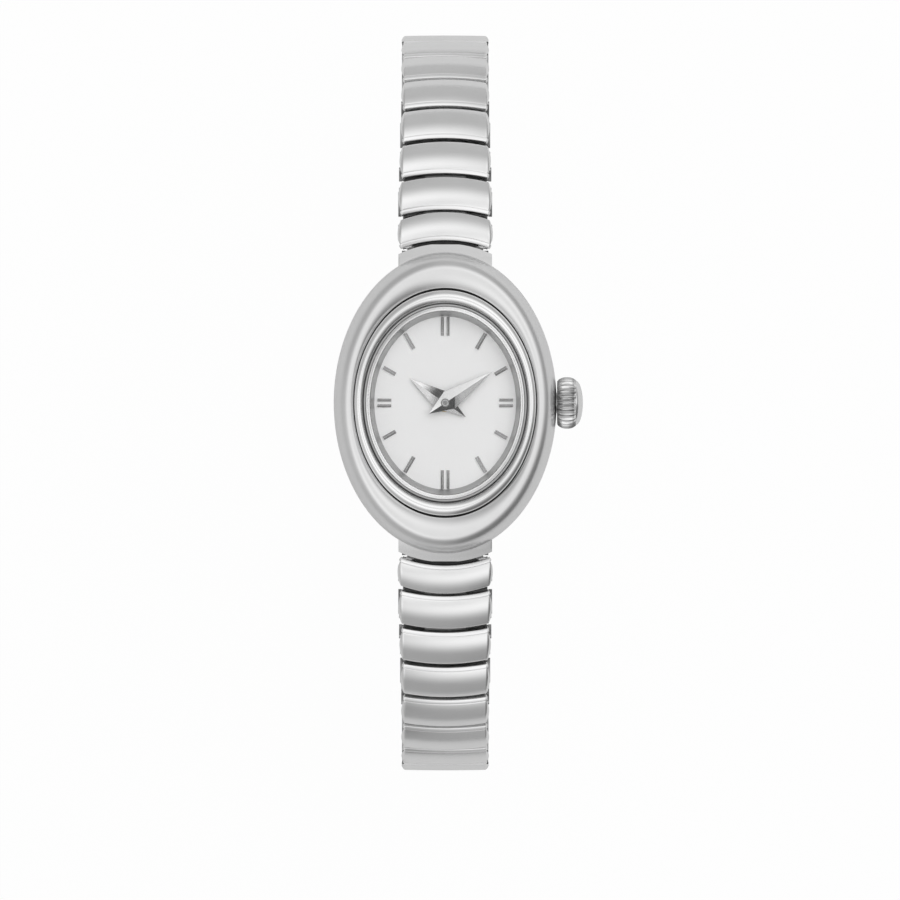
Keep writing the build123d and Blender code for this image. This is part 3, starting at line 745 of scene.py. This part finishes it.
def make_flange():
    """A ring that slopes down to the dial's opening."""
    half, mouth_half = (6.55, 7.95), (6.15, 7.55)
    loops = loops_along(half, [(0, dial_top), (0, flange_top)])
    loops += loops_along(mouth_half, [(0.05, flange_top), (0, flange_top - 0.04)])
    loops += [(6.09, 7.48, 5.2), (5.82, 7.15, 4.05), (*dial_opening_half, dial_top)]
    return oval_ring("flange_ring_satin", loops)


def make_dial():
    """A plate with a hole for the hands, its top divided by rings."""
    hole, underside = (0.75, 0.75), dial_top - 0.35
    loops = [(*hole, underside), (*dial_half, underside)]
    for half in (dial_half, (5.0, 6.0), (3.0, 3.5), (1.2, 1.3), hole):
        loops.append((*half, dial_top))
    return oval_ring("dial_plate", loops)


# The bezel's walls below its shoulder are painted near-black as painted shade
bezel_piece = paint_faces(
    paint(make_bezel(), bright_steel), painted_shade_steel, lambda spot: spot.z < bezel_shoulder
)
finish_piece(bezel_piece, "root", ["bezel_ring"])
finish_piece(paint(make_gasket(), grey_gasket), "root", ["crystal_gasket"])
finish_piece(paint(make_crystal(), crystal_clear), "root", ["crystal"])
flange_piece = paint_faces(
    paint(make_flange(), ring_metal), ring_top, lambda spot: spot.z > flange_top - 0.03
)
finish_piece(flange_piece, "root", ["flange_ring"])
finish_piece(paint(make_dial(), dial_white), "root", ["dial"])


# Applied bars


def dial_reach(angle):
    """How far from the middle the dial's opening lies in one direction."""
    across, along = dial_opening_half
    return 1 / math.hypot(math.sin(angle) / across, math.cos(angle) / along)


def make_bar(width, length, outer, offset, angle):
    """One bar pointing at the hands, like a low roof with a ridge along its middle."""
    side_height, roof_height, ridge_share, end_slope = 0.11, 0.07, 0.12, 0.025
    middle = (offset, outer - length / 2, dial_top + side_height / 2)
    bar = add_block("bar", (width, length, side_height), middle)
    pick(lambda spot: spot.z > middle[2])
    draw_up(roof_height)
    resize_about(middle, (ridge_share, 1 - 2 * end_slope / length, 1))
    leave_edit()
    return place(bar, Matrix.Rotation(-angle, 4, "Z"))


def make_hour_bars():
    """Twin bars at each quarter of the dial and single ones between them."""
    single_width, twin_width, twin_offset = 0.31, 0.23, 0.235
    bars = []
    for hour in range(12):
        angle = math.radians(30 * hour)
        inset, length = bar_places[min(hour % 6, 6 - hour % 6)]
        outer = dial_reach(angle) - inset
        if hour % 3 == 0:
            for side in (-1, 1):
                bars.append(make_bar(twin_width, length, outer, side * twin_offset, angle))
        else:
            bars.append(make_bar(single_width, length, outer, 0, angle))
    return join("hour_bars", bars)


finish_piece(paint(make_hour_bars(), bar_metal), "root", ["hour_markers"], angle=10)


# Hands


def make_hand(name, tip, tail, seat, angle):
    """A kite with four facets that rise to a peak across its widest place."""
    thickness, peak = 0.08, 0.2
    across, reach = shoulder_half_width, shoulder_reach
    corners = [(0, tip), (across, reach), (0, -tail), (-across, reach)]
    piece = draw_outline(name, [(x, y, seat) for x, y in corners])
    bpy.ops.mesh.edge_face_add()
    draw_up(thickness)
    bpy.ops.mesh.poke()
    inner_low, inner_high = 0.1 - tail, tip - 0.1
    pick(
        lambda spot: spot.z > seat + thickness / 2
        and abs(spot.x) < across / 2
        and inner_low < spot.y < inner_high
    )
    poked_at = (tip + 2 * reach - tail) / 4
    move((0, reach - poked_at, peak))
    pick(lambda spot: spot.z < seat + thickness / 2)
    bpy.ops.mesh.edge_face_add()
    close_shape(piece)
    apply_modifier(piece, "BEVEL", width=0.015, segments=2, limit_method="ANGLE", angle_limit=0.3)
    return place(piece, Matrix.Rotation(-math.radians(angle), 4, "Z"))


def make_boss():
    """The minute hand's socket, with the pin that fills it."""
    socket = [(0.36, 4.7), (0.36, 4.9), (0.33, 4.93), (0.28, 4.93), (0.25, 4.9)]
    pin = [(0.22, 4.9), (0.21, 4.92), (0.15, 4.95), (0.05, 4.955)]
    return turned_slab("pin_and_socket", socket + pin, 48)


def facet_of(spot, angle):
    """Which facet of a hand a place lies on: whether it is past the shoulders, and on its right."""
    turn = math.radians(angle)
    ahead = spot.x * math.sin(turn) + spot.y * math.cos(turn)
    aside = spot.x * math.cos(turn) - spot.y * math.sin(turn)
    return ahead > shoulder_reach, aside > 0


def paint_hand(hand, angle, finishes):
    """Gives each of the four facets of a hand its own finish; the grey, dark and graded ones are painted
    reflections.
    """
    paint(hand, finishes[True, True])
    for side in ((True, False), (False, True), (False, False)):
        paint_faces(hand, finishes[side], lambda spot: facet_of(spot, angle) == side)
    return hand


# Polished steel on the bright facets, painted reflections on the others
minute_finishes_and_painted_reflections = {
    (True, True): grey_painted_reflection_facet,
    (True, False): hand_metal,
    (False, True): dark_painted_reflection_facet,
    (False, False): hand_metal,
}
hour_finishes_and_painted_reflections = {
    (True, True): shaded_facet,
    (True, False): grey_painted_reflection_facet,
    (False, True): dark_painted_reflection_facet,
    (False, False): soft_painted_reflection_facet,
}
minute_piece = make_hand("minute_hand_faceted", tip=4.7, tail=1.63, seat=4.65, angle=minute_angle)
paint_hand(minute_piece, minute_angle, minute_finishes_and_painted_reflections)
hour_piece = make_hand("hour_hand_faceted", tip=3.57, tail=2.05, seat=4.25, angle=hour_angle)
paint_hand(hour_piece, hour_angle, hour_finishes_and_painted_reflections)
finish_piece(minute_piece, "minute_work", ["minute_hand"], angle=12)
finish_piece(hour_piece, "hour_work", ["hour_hand"], angle=12)
finish_piece(paint(make_boss(), pin_metal), "minute_work")


# Crown


def in_crown_painted_shade(spot):
    """The floors of the flutes and the side towards the case, which take painted shade."""
    floor_radius, bore_radius, grooves_end = 1.99, 1.5, 10.7
    from_middle = math.hypot(spot.y, spot.z - case_waist)
    in_flute = spot.x < grooves_end and bore_radius < from_middle < floor_radius
    return in_flute or spot.x < grip_start - 0.02


def grip_profile():
    """Radii and heights, barrelled between the grip's two ends."""
    steps, drop, drop_power = 10, 0.53, 2.5
    profile = [(1.3, crown_start), (1.8, crown_start)]
    for step in range(steps + 1):
        height = grip_start + (grip_end - grip_start) * step / steps
        profile.append((crown_radius - drop * abs(height - crown_widest) ** drop_power, height))
    return profile


def make_grip():
    """A circle pressed into flutes, then extruded along the profile."""
    ribs, phases, flute_share, flute_power = 26, 8, 0.065, 0.8
    clear_selection()
    bpy.ops.mesh.primitive_circle_add(vertices=ribs * phases, radius=1)
    grip = open_piece("grip")
    for phase in range(phases):
        depth = flute_share * (1 - math.cos(2 * math.pi * phase / phases)) ** flute_power
        around = ribs * phases / (2 * math.pi)
        pick(lambda spot: round(math.atan2(spot.y, spot.x) * around) % phases == phase)
        resize_about((0, 0, 0), (1 - depth, 1 - depth, 1))
    bpy.ops.mesh.select_all(action="SELECT")
    draw_loops(loops_along((0, 0), grip_profile()))
    fill_rims()
    return close_shape(grip)


def make_cap():
    """The smooth end, a quarter of an ellipse turned round."""
    steps = 16
    profile = [(1.5, 10.6)]
    for step in range(steps):
        turn = math.pi / 2 * step / steps
        profile.append((cap_radius * math.cos(turn), cap_start + cap_rise * math.sin(turn)))
    return turned_slab("cap", profile, 96)


def make_crown():
    """A fluted grip with a smooth domed end, made upright and then laid along x."""
    whole = join("crown_fluted", [make_grip(), make_cap()])
    return place(whole, Matrix.Translation((0, 0, case_waist)) @ lay_along_x)


# The flute floors and the side by the case are painted darker as painted shade
crown_piece = paint_faces(paint(make_crown(), crown_metal), crown_painted_shade_metal, in_crown_painted_shade)
finish_piece(crown_piece, "crown", ["crown"], angle=50)


# Bracelet layout


def tilt_at(index, bend_centre):
    rate = upper_bend_rate if index < bend_centre else lower_bend_rate
    return start_tilt + (end_tilt - start_tilt) / (1 + math.exp(-(index - bend_centre) * rate))


def pitch_of(index):
    return first_pitch if index == 1 else link_pitch


def loop_end(bend_centre):
    reach = first_gap[0]
    for index in range(1, links_per_side + 1):
        reach += pitch_of(index) * math.cos(math.radians(tilt_at(index, bend_centre)))
    return reach


def find_bend_centre():
    low, high = 0, links_per_side
    halvings = 60
    for _ in range(halvings):
        middle = (low + high) / 2
        if loop_end(middle) > 0:
            high = middle
        else:
            low = middle
    return low


bend_centre = find_bend_centre()
tilts = [tilt_at(index, bend_centre) for index in range(1, links_per_side + 1)]
gaps = [first_gap]
for number, tilt in enumerate(tilts, start=1):
    step = pitch_of(number)
    slope = math.radians(tilt)
    gaps.append((gaps[-1][0] + step * math.cos(slope), gaps[-1][1] - step * math.sin(slope)))


def half_length_of(index):
    return (pitch_of(index) - link_gap) / 2


def channel_half_length(half):
    return min(1.1, half - 0.3)


def link_place(index):
    """Centre and tilt of a link, counted from 1 at the lug."""
    (y0, z0), (y1, z1) = gaps[index - 1], gaps[index]
    return (y0 + y1) / 2, (z0 + z1) / 2, math.radians(tilts[index - 1])


def gap_place(index):
    """Centre and tilt of the gap after a link."""
    following = tilts[index] if index < links_per_side else end_tilt
    return (*gaps[index], math.radians((tilts[index - 1] + following) / 2))


def as_matrix(spot):
    y, z, tilt = spot
    return Matrix.Translation((0, y, z)) @ Matrix.Rotation(-tilt, 4, "X")


def along_link(spot, u, w):
    """A place along and above a link, as y and z."""
    y, z, tilt = spot
    return y + u * math.cos(tilt) + w * math.sin(tilt), z - u * math.sin(tilt) + w * math.cos(tilt)


def half_width_of(index):
    return link_half_widths[index - 1] if index <= len(link_half_widths) else end_link_half_width


def bow_of(index):
    return link_bows[index - 1] if index <= len(link_bows) else end_link_bow


# Bracelet pieces


def arc_points(half, low, high, count):
    """Points of a shallow arc over a chord, from its near end to its far end."""
    rise = high - low
    radius = (half * half + rise * rise) / (2 * rise)
    reach = math.asin(half / abs(radius))
    turns = [reach * (2 * step / (count - 1) - 1) for step in range(count)]
    return [(abs(radius) * math.sin(turn), high - radius + radius * math.cos(turn)) for turn in turns]


def bow_drop(bow, x=bow_reference):
    return bow - math.sqrt(bow**2 - x**2)


class Sweep:
    """Half a piece, drawn as an outline across the link and drawn out along the arc of its bow."""

    def __init__(self, name, outline, bow):
        self.bow = bow
        self.middle = bow_drop(bow)
        self.reach = 0.0
        self.piece = draw_outline(name, [(0, self.middle + u, w) for u, w in outline])
        self.count = len(outline)

    def draw_to(self, reach, steps=1):
        """Extrudes the last ring along the arc."""
        for step in range(steps):
            there = self.reach + (reach - self.reach) / (steps - step)
            back = bow_drop(self.bow, there) - bow_drop(self.bow, self.reach)
            draw_on((there - self.reach, -back, 0))
            self.reach = there
            self.middle -= back

    def step_here(self):
        """Repeats the last ring in place, for a step."""
        bpy.ops.mesh.extrude_edges_move()

    def keep(self, test):
        """Keeps of the last ring only the points whose place passes a test."""
        pick_points(lambda point: point.select and test(point.co))

    def ring_again(self):
        """Selects the whole last ring, whose points are the newest of the mesh."""
        newest = len(bmesh.from_edit_mesh(self.piece.data).verts) - self.count
        pick_points(lambda point: point.index >= newest)

    def squeeze(self, test, share, floor):
        """Brings the points of the last ring that pass a test nearer to a level."""
        self.keep(test)
        resize_about((0, 0, floor), (1, 1, share))
        self.ring_again()

    def narrow(self, share):
        """Draws the last ring in along the link."""
        resize_about((0, self.middle, 0), (1, share, 1))

    def whole(self):
        """Closes the end and completes the piece with its other half."""
        bpy.ops.mesh.edge_face_add()
        leave_edit()
        apply_modifier(self.piece, "MIRROR", use_clip=True, merge_threshold=0.0005)
        bpy.ops.object.mode_set(mode="EDIT")
        return close_shape(self.piece)


def on_lip(spot, half, bow, half_width):
    """The lip along the edge next to the case, painted brighter as a painted highlight."""
    along = spot.y - bow_drop(bow) + bow_drop(bow, min(abs(spot.x), half_width))
    start, end, foot_level = -half + 0.005, -half + 0.3, 0.74
    return start < along < end and spot.z > foot_level


def shell_outline(half):
    """An outer shell across: the lip, the crest, the far edge and the underside."""
    near = [(-half + inset, height) for inset, height in near_edge]
    start, end = -half + 0.335, half - 0.1
    rows = [start + (end - start) * step / crest_rows for step in range(crest_rows + 1)]
    top = [(u, crest_level - crest_bend * (u - crest_share * half) ** 2) for u in rows]
    far = [(half - inset, top[-1][1] - drop) for inset, drop in far_edge]
    return near + top + far + [(u, shell_underside) for u in (half, half / 2, -half / 2)]


def round_end(sweep, half_width):
    """Draws a shell in to a soft, narrow end."""
    level, height_length, width_length = 0.45, 0.4, 0.34
    least_height_share, least_width_share = 0.12, 0.14
    height_before, width_before = 1.0, 1.0
    for inset in end_insets:
        sweep.draw_to(half_width - inset)
        height = max(least_height_share, math.sqrt(1 - (1 - inset / height_length) ** 2))
        width = min(1.0, max(least_width_share, math.sqrt(inset / width_length)))
        sweep.squeeze(lambda spot: spot.z > level, height / height_before, level)
        sweep.narrow(width / width_before)
        height_before, width_before = height, width


def trim_straight(shell, half):
    """Cuts the far edge straight, where the two halves of the loop meet."""
    use_only(shell)
    bpy.ops.object.mode_set(mode="EDIT")
    bpy.ops.mesh.select_all(action="SELECT")
    bpy.ops.mesh.bisect(plane_co=(0, half, 0), plane_no=(0, 1, 0), use_fill=True, clear_outer=True)
    leave_edit()


def make_outer_shell(half_width, bow, half, straight_end=False):
    """A bowed barrel with bevelled long edges, soft ends and a channel right through."""
    underside_lift = 0.37
    sweep = Sweep("outer_shell", shell_outline(half), bow)
    sweep.draw_to(half_width - 1.1, 12)
    sweep.draw_to(half_width - 0.52, 4)
    sweep.step_here()
    sweep.keep(lambda spot: spot.z < shell_underside + 0.05)
    move((0, 0, underside_lift))
    sweep.ring_again()
    round_end(sweep, half_width)
    shell = sweep.whole()
    cut(shell, make_channel(channel_half_length(half), bow, half_width))
    if straight_end:
        trim_straight(shell, half)
    paint(shell, link_steel)
    # The lip is painted brighter as a painted highlight
    return paint_faces(shell, painted_highlight_lip_steel, lambda spot: on_lip(spot, half, bow, half_width))


def across_box(half, low, high):
    """A rectangle across a link, from its near side round to its far side."""
    return [(-half, low), (-half, high), (half, high), (half, low)]


def make_channel(half, bow, half_width):
    sweep = Sweep("channel", across_box(half, channel_floor, channel_top), bow)
    sweep.draw_to(half_width + 0.5, 12)
    return sweep.whole()


def make_inner_shell(half_width, bow):
    """The lens-shaped link below a gap: raised in the middle, a step lower towards its ends."""
    half, edge_level, step_level, middle_level = 1.28, -0.5, -0.32, -0.675
    crest = arc_points(half, edge_level, -0.1, 11)
    belly = [(u, 2 * middle_level - w) for u, w in reversed(arc_points(half, edge_level, -0.2, 9))]
    sweep = Sweep("inner_shell", crest + belly, bow)
    sweep.draw_to(1.62, 5)
    sweep.draw_to(1.68)
    sweep.squeeze(lambda spot: spot.z > step_level, 0.85, step_level)
    sweep.draw_to(1.7)
    sweep.squeeze(lambda spot: spot.z > step_level, 0.0, step_level)
    sweep.draw_to(half_width - 0.56, 4)
    sweep.draw_to(half_width - 0.5)
    sweep.squeeze(lambda spot: spot.z < 0, 0.86, middle_level)
    # The inner shell is painted dark as painted shade, since it sits in the gaps between links
    return paint(sweep.whole(), painted_shade_inner_steel)


def make_spring_strip(half, bow):
    """The flat spring in a shell's channel."""
    play, thickness = 0.15, 0.1
    outline = across_box(channel_half_length(half) - play, channel_floor, channel_floor + thickness)
    sweep = Sweep("spring_strip", outline, bow)
    sweep.draw_to(2.0, 6)
    return paint(sweep.whole(), turned_steel)


def staple_plate(span):
    """A flat bridge, round at both ends and softened on top."""
    radius, thickness = 0.2, 0.24
    clear_selection()
    bpy.ops.mesh.primitive_circle_add(vertices=20, radius=radius, fill_type="NGON")
    plate = open_piece("staple")
    for end in (-1, 1):
        pick(lambda spot: spot.x * end > 0.001)
        move((end * span / 2, 0, 0))
    bpy.ops.mesh.select_all(action="SELECT")
    draw_up(thickness)
    bpy.ops.mesh.inset(thickness=0.03, depth=0.02)
    return close_shape(plate)


def staple_legs(span):
    radius, length = 0.17, 1.0
    legs = []
    for end in (-1, 1):
        clear_selection()
        bpy.ops.mesh.primitive_cylinder_add(
            vertices=12, radius=radius, depth=length, location=(end * span / 2, 0, -length / 2)
        )
        legs.append(bpy.context.object)
    return legs


def make_staple(side, half_width, upper, lower):
    """A bridge with two round legs, drawn where it hooks two shells together."""
    plate_sunk = 0.12
    x = side * (half_width - staple_inset - plate_sunk)
    span = math.hypot(upper[0] - lower[0], upper[1] - lower[1])
    slope = math.atan2(upper[1] - lower[1], upper[0] - lower[0])
    staple = join("staple", [staple_plate(span), *staple_legs(span)])
    lay_out = Matrix(((0, 0, side, 0), (1, 0, 0, 0), (0, 1, 0, 0), (0, 0, 0, 1)))
    spot = Matrix.Translation((x, (upper[0] + lower[0]) / 2, (upper[1] + lower[1]) / 2))
    place(staple, spot @ Matrix.Rotation(slope, 4, "X") @ lay_out)
    bpy.ops.object.mode_set(mode="EDIT")
    close_shape(staple)
    return paint(staple, staple_metal)


def leg_in_outer(index):
    """How far along a shell its staples' legs lie."""
    bow, leg_play = bow_of(index), 0.23
    bridge_x = half_width_of(index) - staple_inset
    leg_reach = channel_half_length(half_length_of(index)) - leg_play
    return leg_reach - bow_drop(bow, bridge_x) + bow_drop(bow)


def staples_after(index):
    """Two staples on each side, which hook the gap's inner shell to the links next to it."""
    half_width = half_width_of(index)
    here, gap = link_place(index), gap_place(index)
    upper = along_link(here, leg_in_outer(index), upper_foot_level)
    if index < links_per_side:
        closed = -leg_in_outer(index + 1)
        entry = closed if index % 2 == 0 else closed + 1.0
        following = along_link(link_place(index + 1), entry, upper_foot_level)
    else:
        y, z = along_link(here, lower_foot_reach, upper_foot_level)
        following = (-y, z)
    near_foot = along_link(gap, -lower_foot_reach, lower_foot_level)
    far_foot = along_link(gap, lower_foot_reach, lower_foot_level)
    staples = []
    for side in (-1, 1):
        staples.append(make_staple(side, half_width, upper, near_foot))
        staples.append(make_staple(side, half_width, following, far_foot))
    return staples


def make_end_hook():
    """The rolled tongue that hangs the first link on the lug's bar."""
    bore, radius, rounding, half_length, clear = 0.4, 0.62, 0.04, 2.6, 0.45
    ends = [(radius - rounding, half_length), (radius, half_length - rounding)]
    low = [(bore, -half_length)] + [(reach, -height) for reach, height in ends]
    roll = turned_ring("roll", low + ends[::-1] + [(bore, half_length)], 40)
    bar_place = Matrix.Translation((0, bar_y, bar_z))
    place(roll, bar_place @ lay_along_x)
    root = along_link(link_place(1), -0.445, -0.32)
    slope = math.atan2(root[1] - bar_z, root[0] - bar_y)
    length = math.hypot(root[1] - bar_z, root[0] - bar_y) - clear
    arm = add_block("arm", (2 * half_length, length, radius), (0, clear + length / 2, 0))
    leave_edit()
    apply_modifier(arm, "BEVEL", width=0.06, segments=3)
    place(arm, bar_place @ Matrix.Rotation(slope, 4, "X"))
    # The hook is painted near-black as painted shade, for the shadowed gap at the lug
    return paint(join("end_hook", [roll, arm]), painted_shade_steel)


def make_bracelet():
    """Draws each kind of shell once, then lays out copies of them from the lugs to the foot."""
    kinds = {}

    def copy_at(spot, make, *sizes):
        if (make, sizes) not in kinds:
            kinds[make, sizes] = make(*sizes)
        return place(copy_of(kinds[make, sizes]), as_matrix(spot))

    for index in range(1, links_per_side + 1):
        last = index == links_per_side
        half_width, bow, half = half_width_of(index), bow_of(index), half_length_of(index)
        shared = [copy_at(link_place(index), make_outer_shell, half_width, bow, half, last)]
        shared.append(copy_at(link_place(index), make_spring_strip, half, bow))
        inner_bow = closing_bow if last else bow
        bridging = [copy_at(gap_place(index), make_inner_shell, half_width, inner_bow)]
        bridging += staples_after(index)
        if index == 1:
            shared.append(make_end_hook())
        if not last:
            shared += bridging
        link = join(f"twelve_link_{index:02d}", shared)
        opposite = place(copy_of(link), Matrix.Rotation(math.pi, 4, "Z"))
        opposite.name = f"six_link_{index:02d}"
        if last:
            link = join(f"twelve_link_{index:02d}", [link, *bridging])
        for piece, node in ((link, f"link_12_{index:02d}"), (opposite, f"link_6_{index:02d}")):
            finish_piece(piece, node, [node])
    for kind in kinds.values():
        bpy.data.objects.remove(kind)


make_bracelet()


# The back, and what the case hides


def make_case_back():
    """A stepped plate with softened edges and a notch to pry it off by."""
    half, spigot_half, spigot_top = (7.7, 10.0), (6.55, 7.95), 0.9
    loops = [(3.0, 3.5, 0.0), (5.5, 7.0, 0.0)]
    loops += loops_along(half, [(-0.25, 0.0), (-0.2, 0.02), (0, 0.24), (0, back_seat)])
    loops += loops_along(spigot_half, [(0, back_seat), (0, spigot_top)])
    plate = oval_slab("case_back_plate", loops)
    notch = add_block("notch", (2.0, 1.0, 0.7), (0, half[1] + 0.15, 0))
    leave_edit()
    cut(plate, notch)
    return plate


finish_piece(paint(make_case_back(), satin_steel), "root", ["case_back"])

hidden_finishes = {
    "back_gasket": rubber,
    "crown_gasket": rubber,
    "cannon_pinion": turned_steel,
    "hour_wheel": brass,
    "minute_wheel": brass,
    "main_plate": nickel_brass,
    "battery": satin_steel,
    "motor_coil": copper,
    "circuit_board": board_lacquer,
    "winding_stem": turned_steel,
    "spring_bars": turned_steel,
}
for node, finish in hidden_finishes.items():
    paint(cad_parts[node], finish)


# Light, floor and camera


def light_world():
    """A soft studio: a ring of light round the lens, greyer sides and a pale table below."""
    side_grey, table_lift, lens_grey, ring_lift = 0.47, 0.28, 0.8, 0.3
    low_right_loss, high_left_loss = 0.46, 0.25
    world = bpy.data.worlds.new("studio")
    bpy.context.scene.world = world
    studio = Finish(world)
    x, y, z = studio.axes(studio.node("TexCoord", output=0), 3)
    off_axis = (x * x + y * y * 1.35) ** 0.5
    ring = off_axis.between(0.0, 0.3)
    reach = off_axis.between(1.0, 0.34) * z.between(-0.1, 0.3) * (1 + x * y * 1.6)
    table = z.between(-0.5, -1.0)
    sides = side_grey - x * 0.12 + y * 0.08 + table * table_lift
    lit = sides + reach * (lens_grey + ring * ring_lift - sides)
    low_right = x.between(0.03, 0.22) * y.between(-0.03, -0.22)
    high_left = x.between(-0.03, -0.22) * y.between(0.03, 0.22)
    level = lit * (1 - low_right * low_right_loss - high_left * high_left_loss)
    grey_level = studio.node("CombineColor", sockets={0: level, 1: level, 2: level})
    camera_ray = studio.node("LightPath", output=0)
    shown = studio.mixed_colour(camera_ray, grey_level, grey(1.0))
    return studio.surface(studio.node("Background", sockets={"Color": shown}))


def add_lamp(name, size, power, spot):
    """A round lamp aimed at the dial, seen only by the light that it casts."""
    lamp = bpy.data.lights.new(name, "AREA")
    lamp.shape = "DISK"
    lamp.size = size
    lamp.energy = power
    holder = bpy.data.objects.new(name, lamp)
    bpy.context.scene.collection.objects.link(holder)
    holder.location = spot
    holder.rotation_euler = (-Vector(spot)).to_track_quat("-Z", "Y").to_euler()
    holder.visible_camera = False
    holder.visible_glossy = False
    holder.visible_transmission = False


def floor_finish():
    finish = Finish(bpy.data.materials.new("pale_floor"))
    mottle = finish.noise(finish.place(), 60.0)
    colour = finish.mixed_colour(mottle, grey(0.58), grey(0.62))
    paper = finish.node("BsdfDiffuse", sockets={"Color": colour})
    white = finish.node("Emission", sockets={"Color": grey(1.0)})
    camera_ray = finish.node("LightPath", output=0)
    return finish.surface(finish.node("MixShader", sockets={0: camera_ray * 0.97, 1: paper, 2: white}))


def make_floor():
    clear_selection()
    bpy.ops.mesh.primitive_plane_add(size=1.2, location=(0, 0, cad_box[0].z - foot_travel * MM))
    floor = bpy.context.object
    floor.name = "pale_floor"
    paint(floor, floor_finish())


def add_camera():
    """Straight above the dial, at the place in the picture where the photograph has the watch."""
    sensor, lens, distance = 36.0, 480.0, 1.0
    picture, dial_at = 900, (445.2, 402.9)
    camera = bpy.data.cameras.new("camera")
    camera.lens = lens
    camera.sensor_width = sensor
    camera.shift_x = (picture / 2 - dial_at[0]) / picture
    camera.shift_y = -(picture / 2 - dial_at[1]) / picture
    holder = bpy.data.objects.new("camera", camera)
    bpy.context.scene.collection.objects.link(holder)
    holder.location = (0, 0, distance + case_waist * MM)
    bpy.context.scene.camera = holder


light_world()
add_lamp("key", size=0.6, power=1.6, spot=(0.12, 0.15, 0.4))
make_floor()
add_camera()
bpy.context.scene.view_settings.view_transform = "Standard"
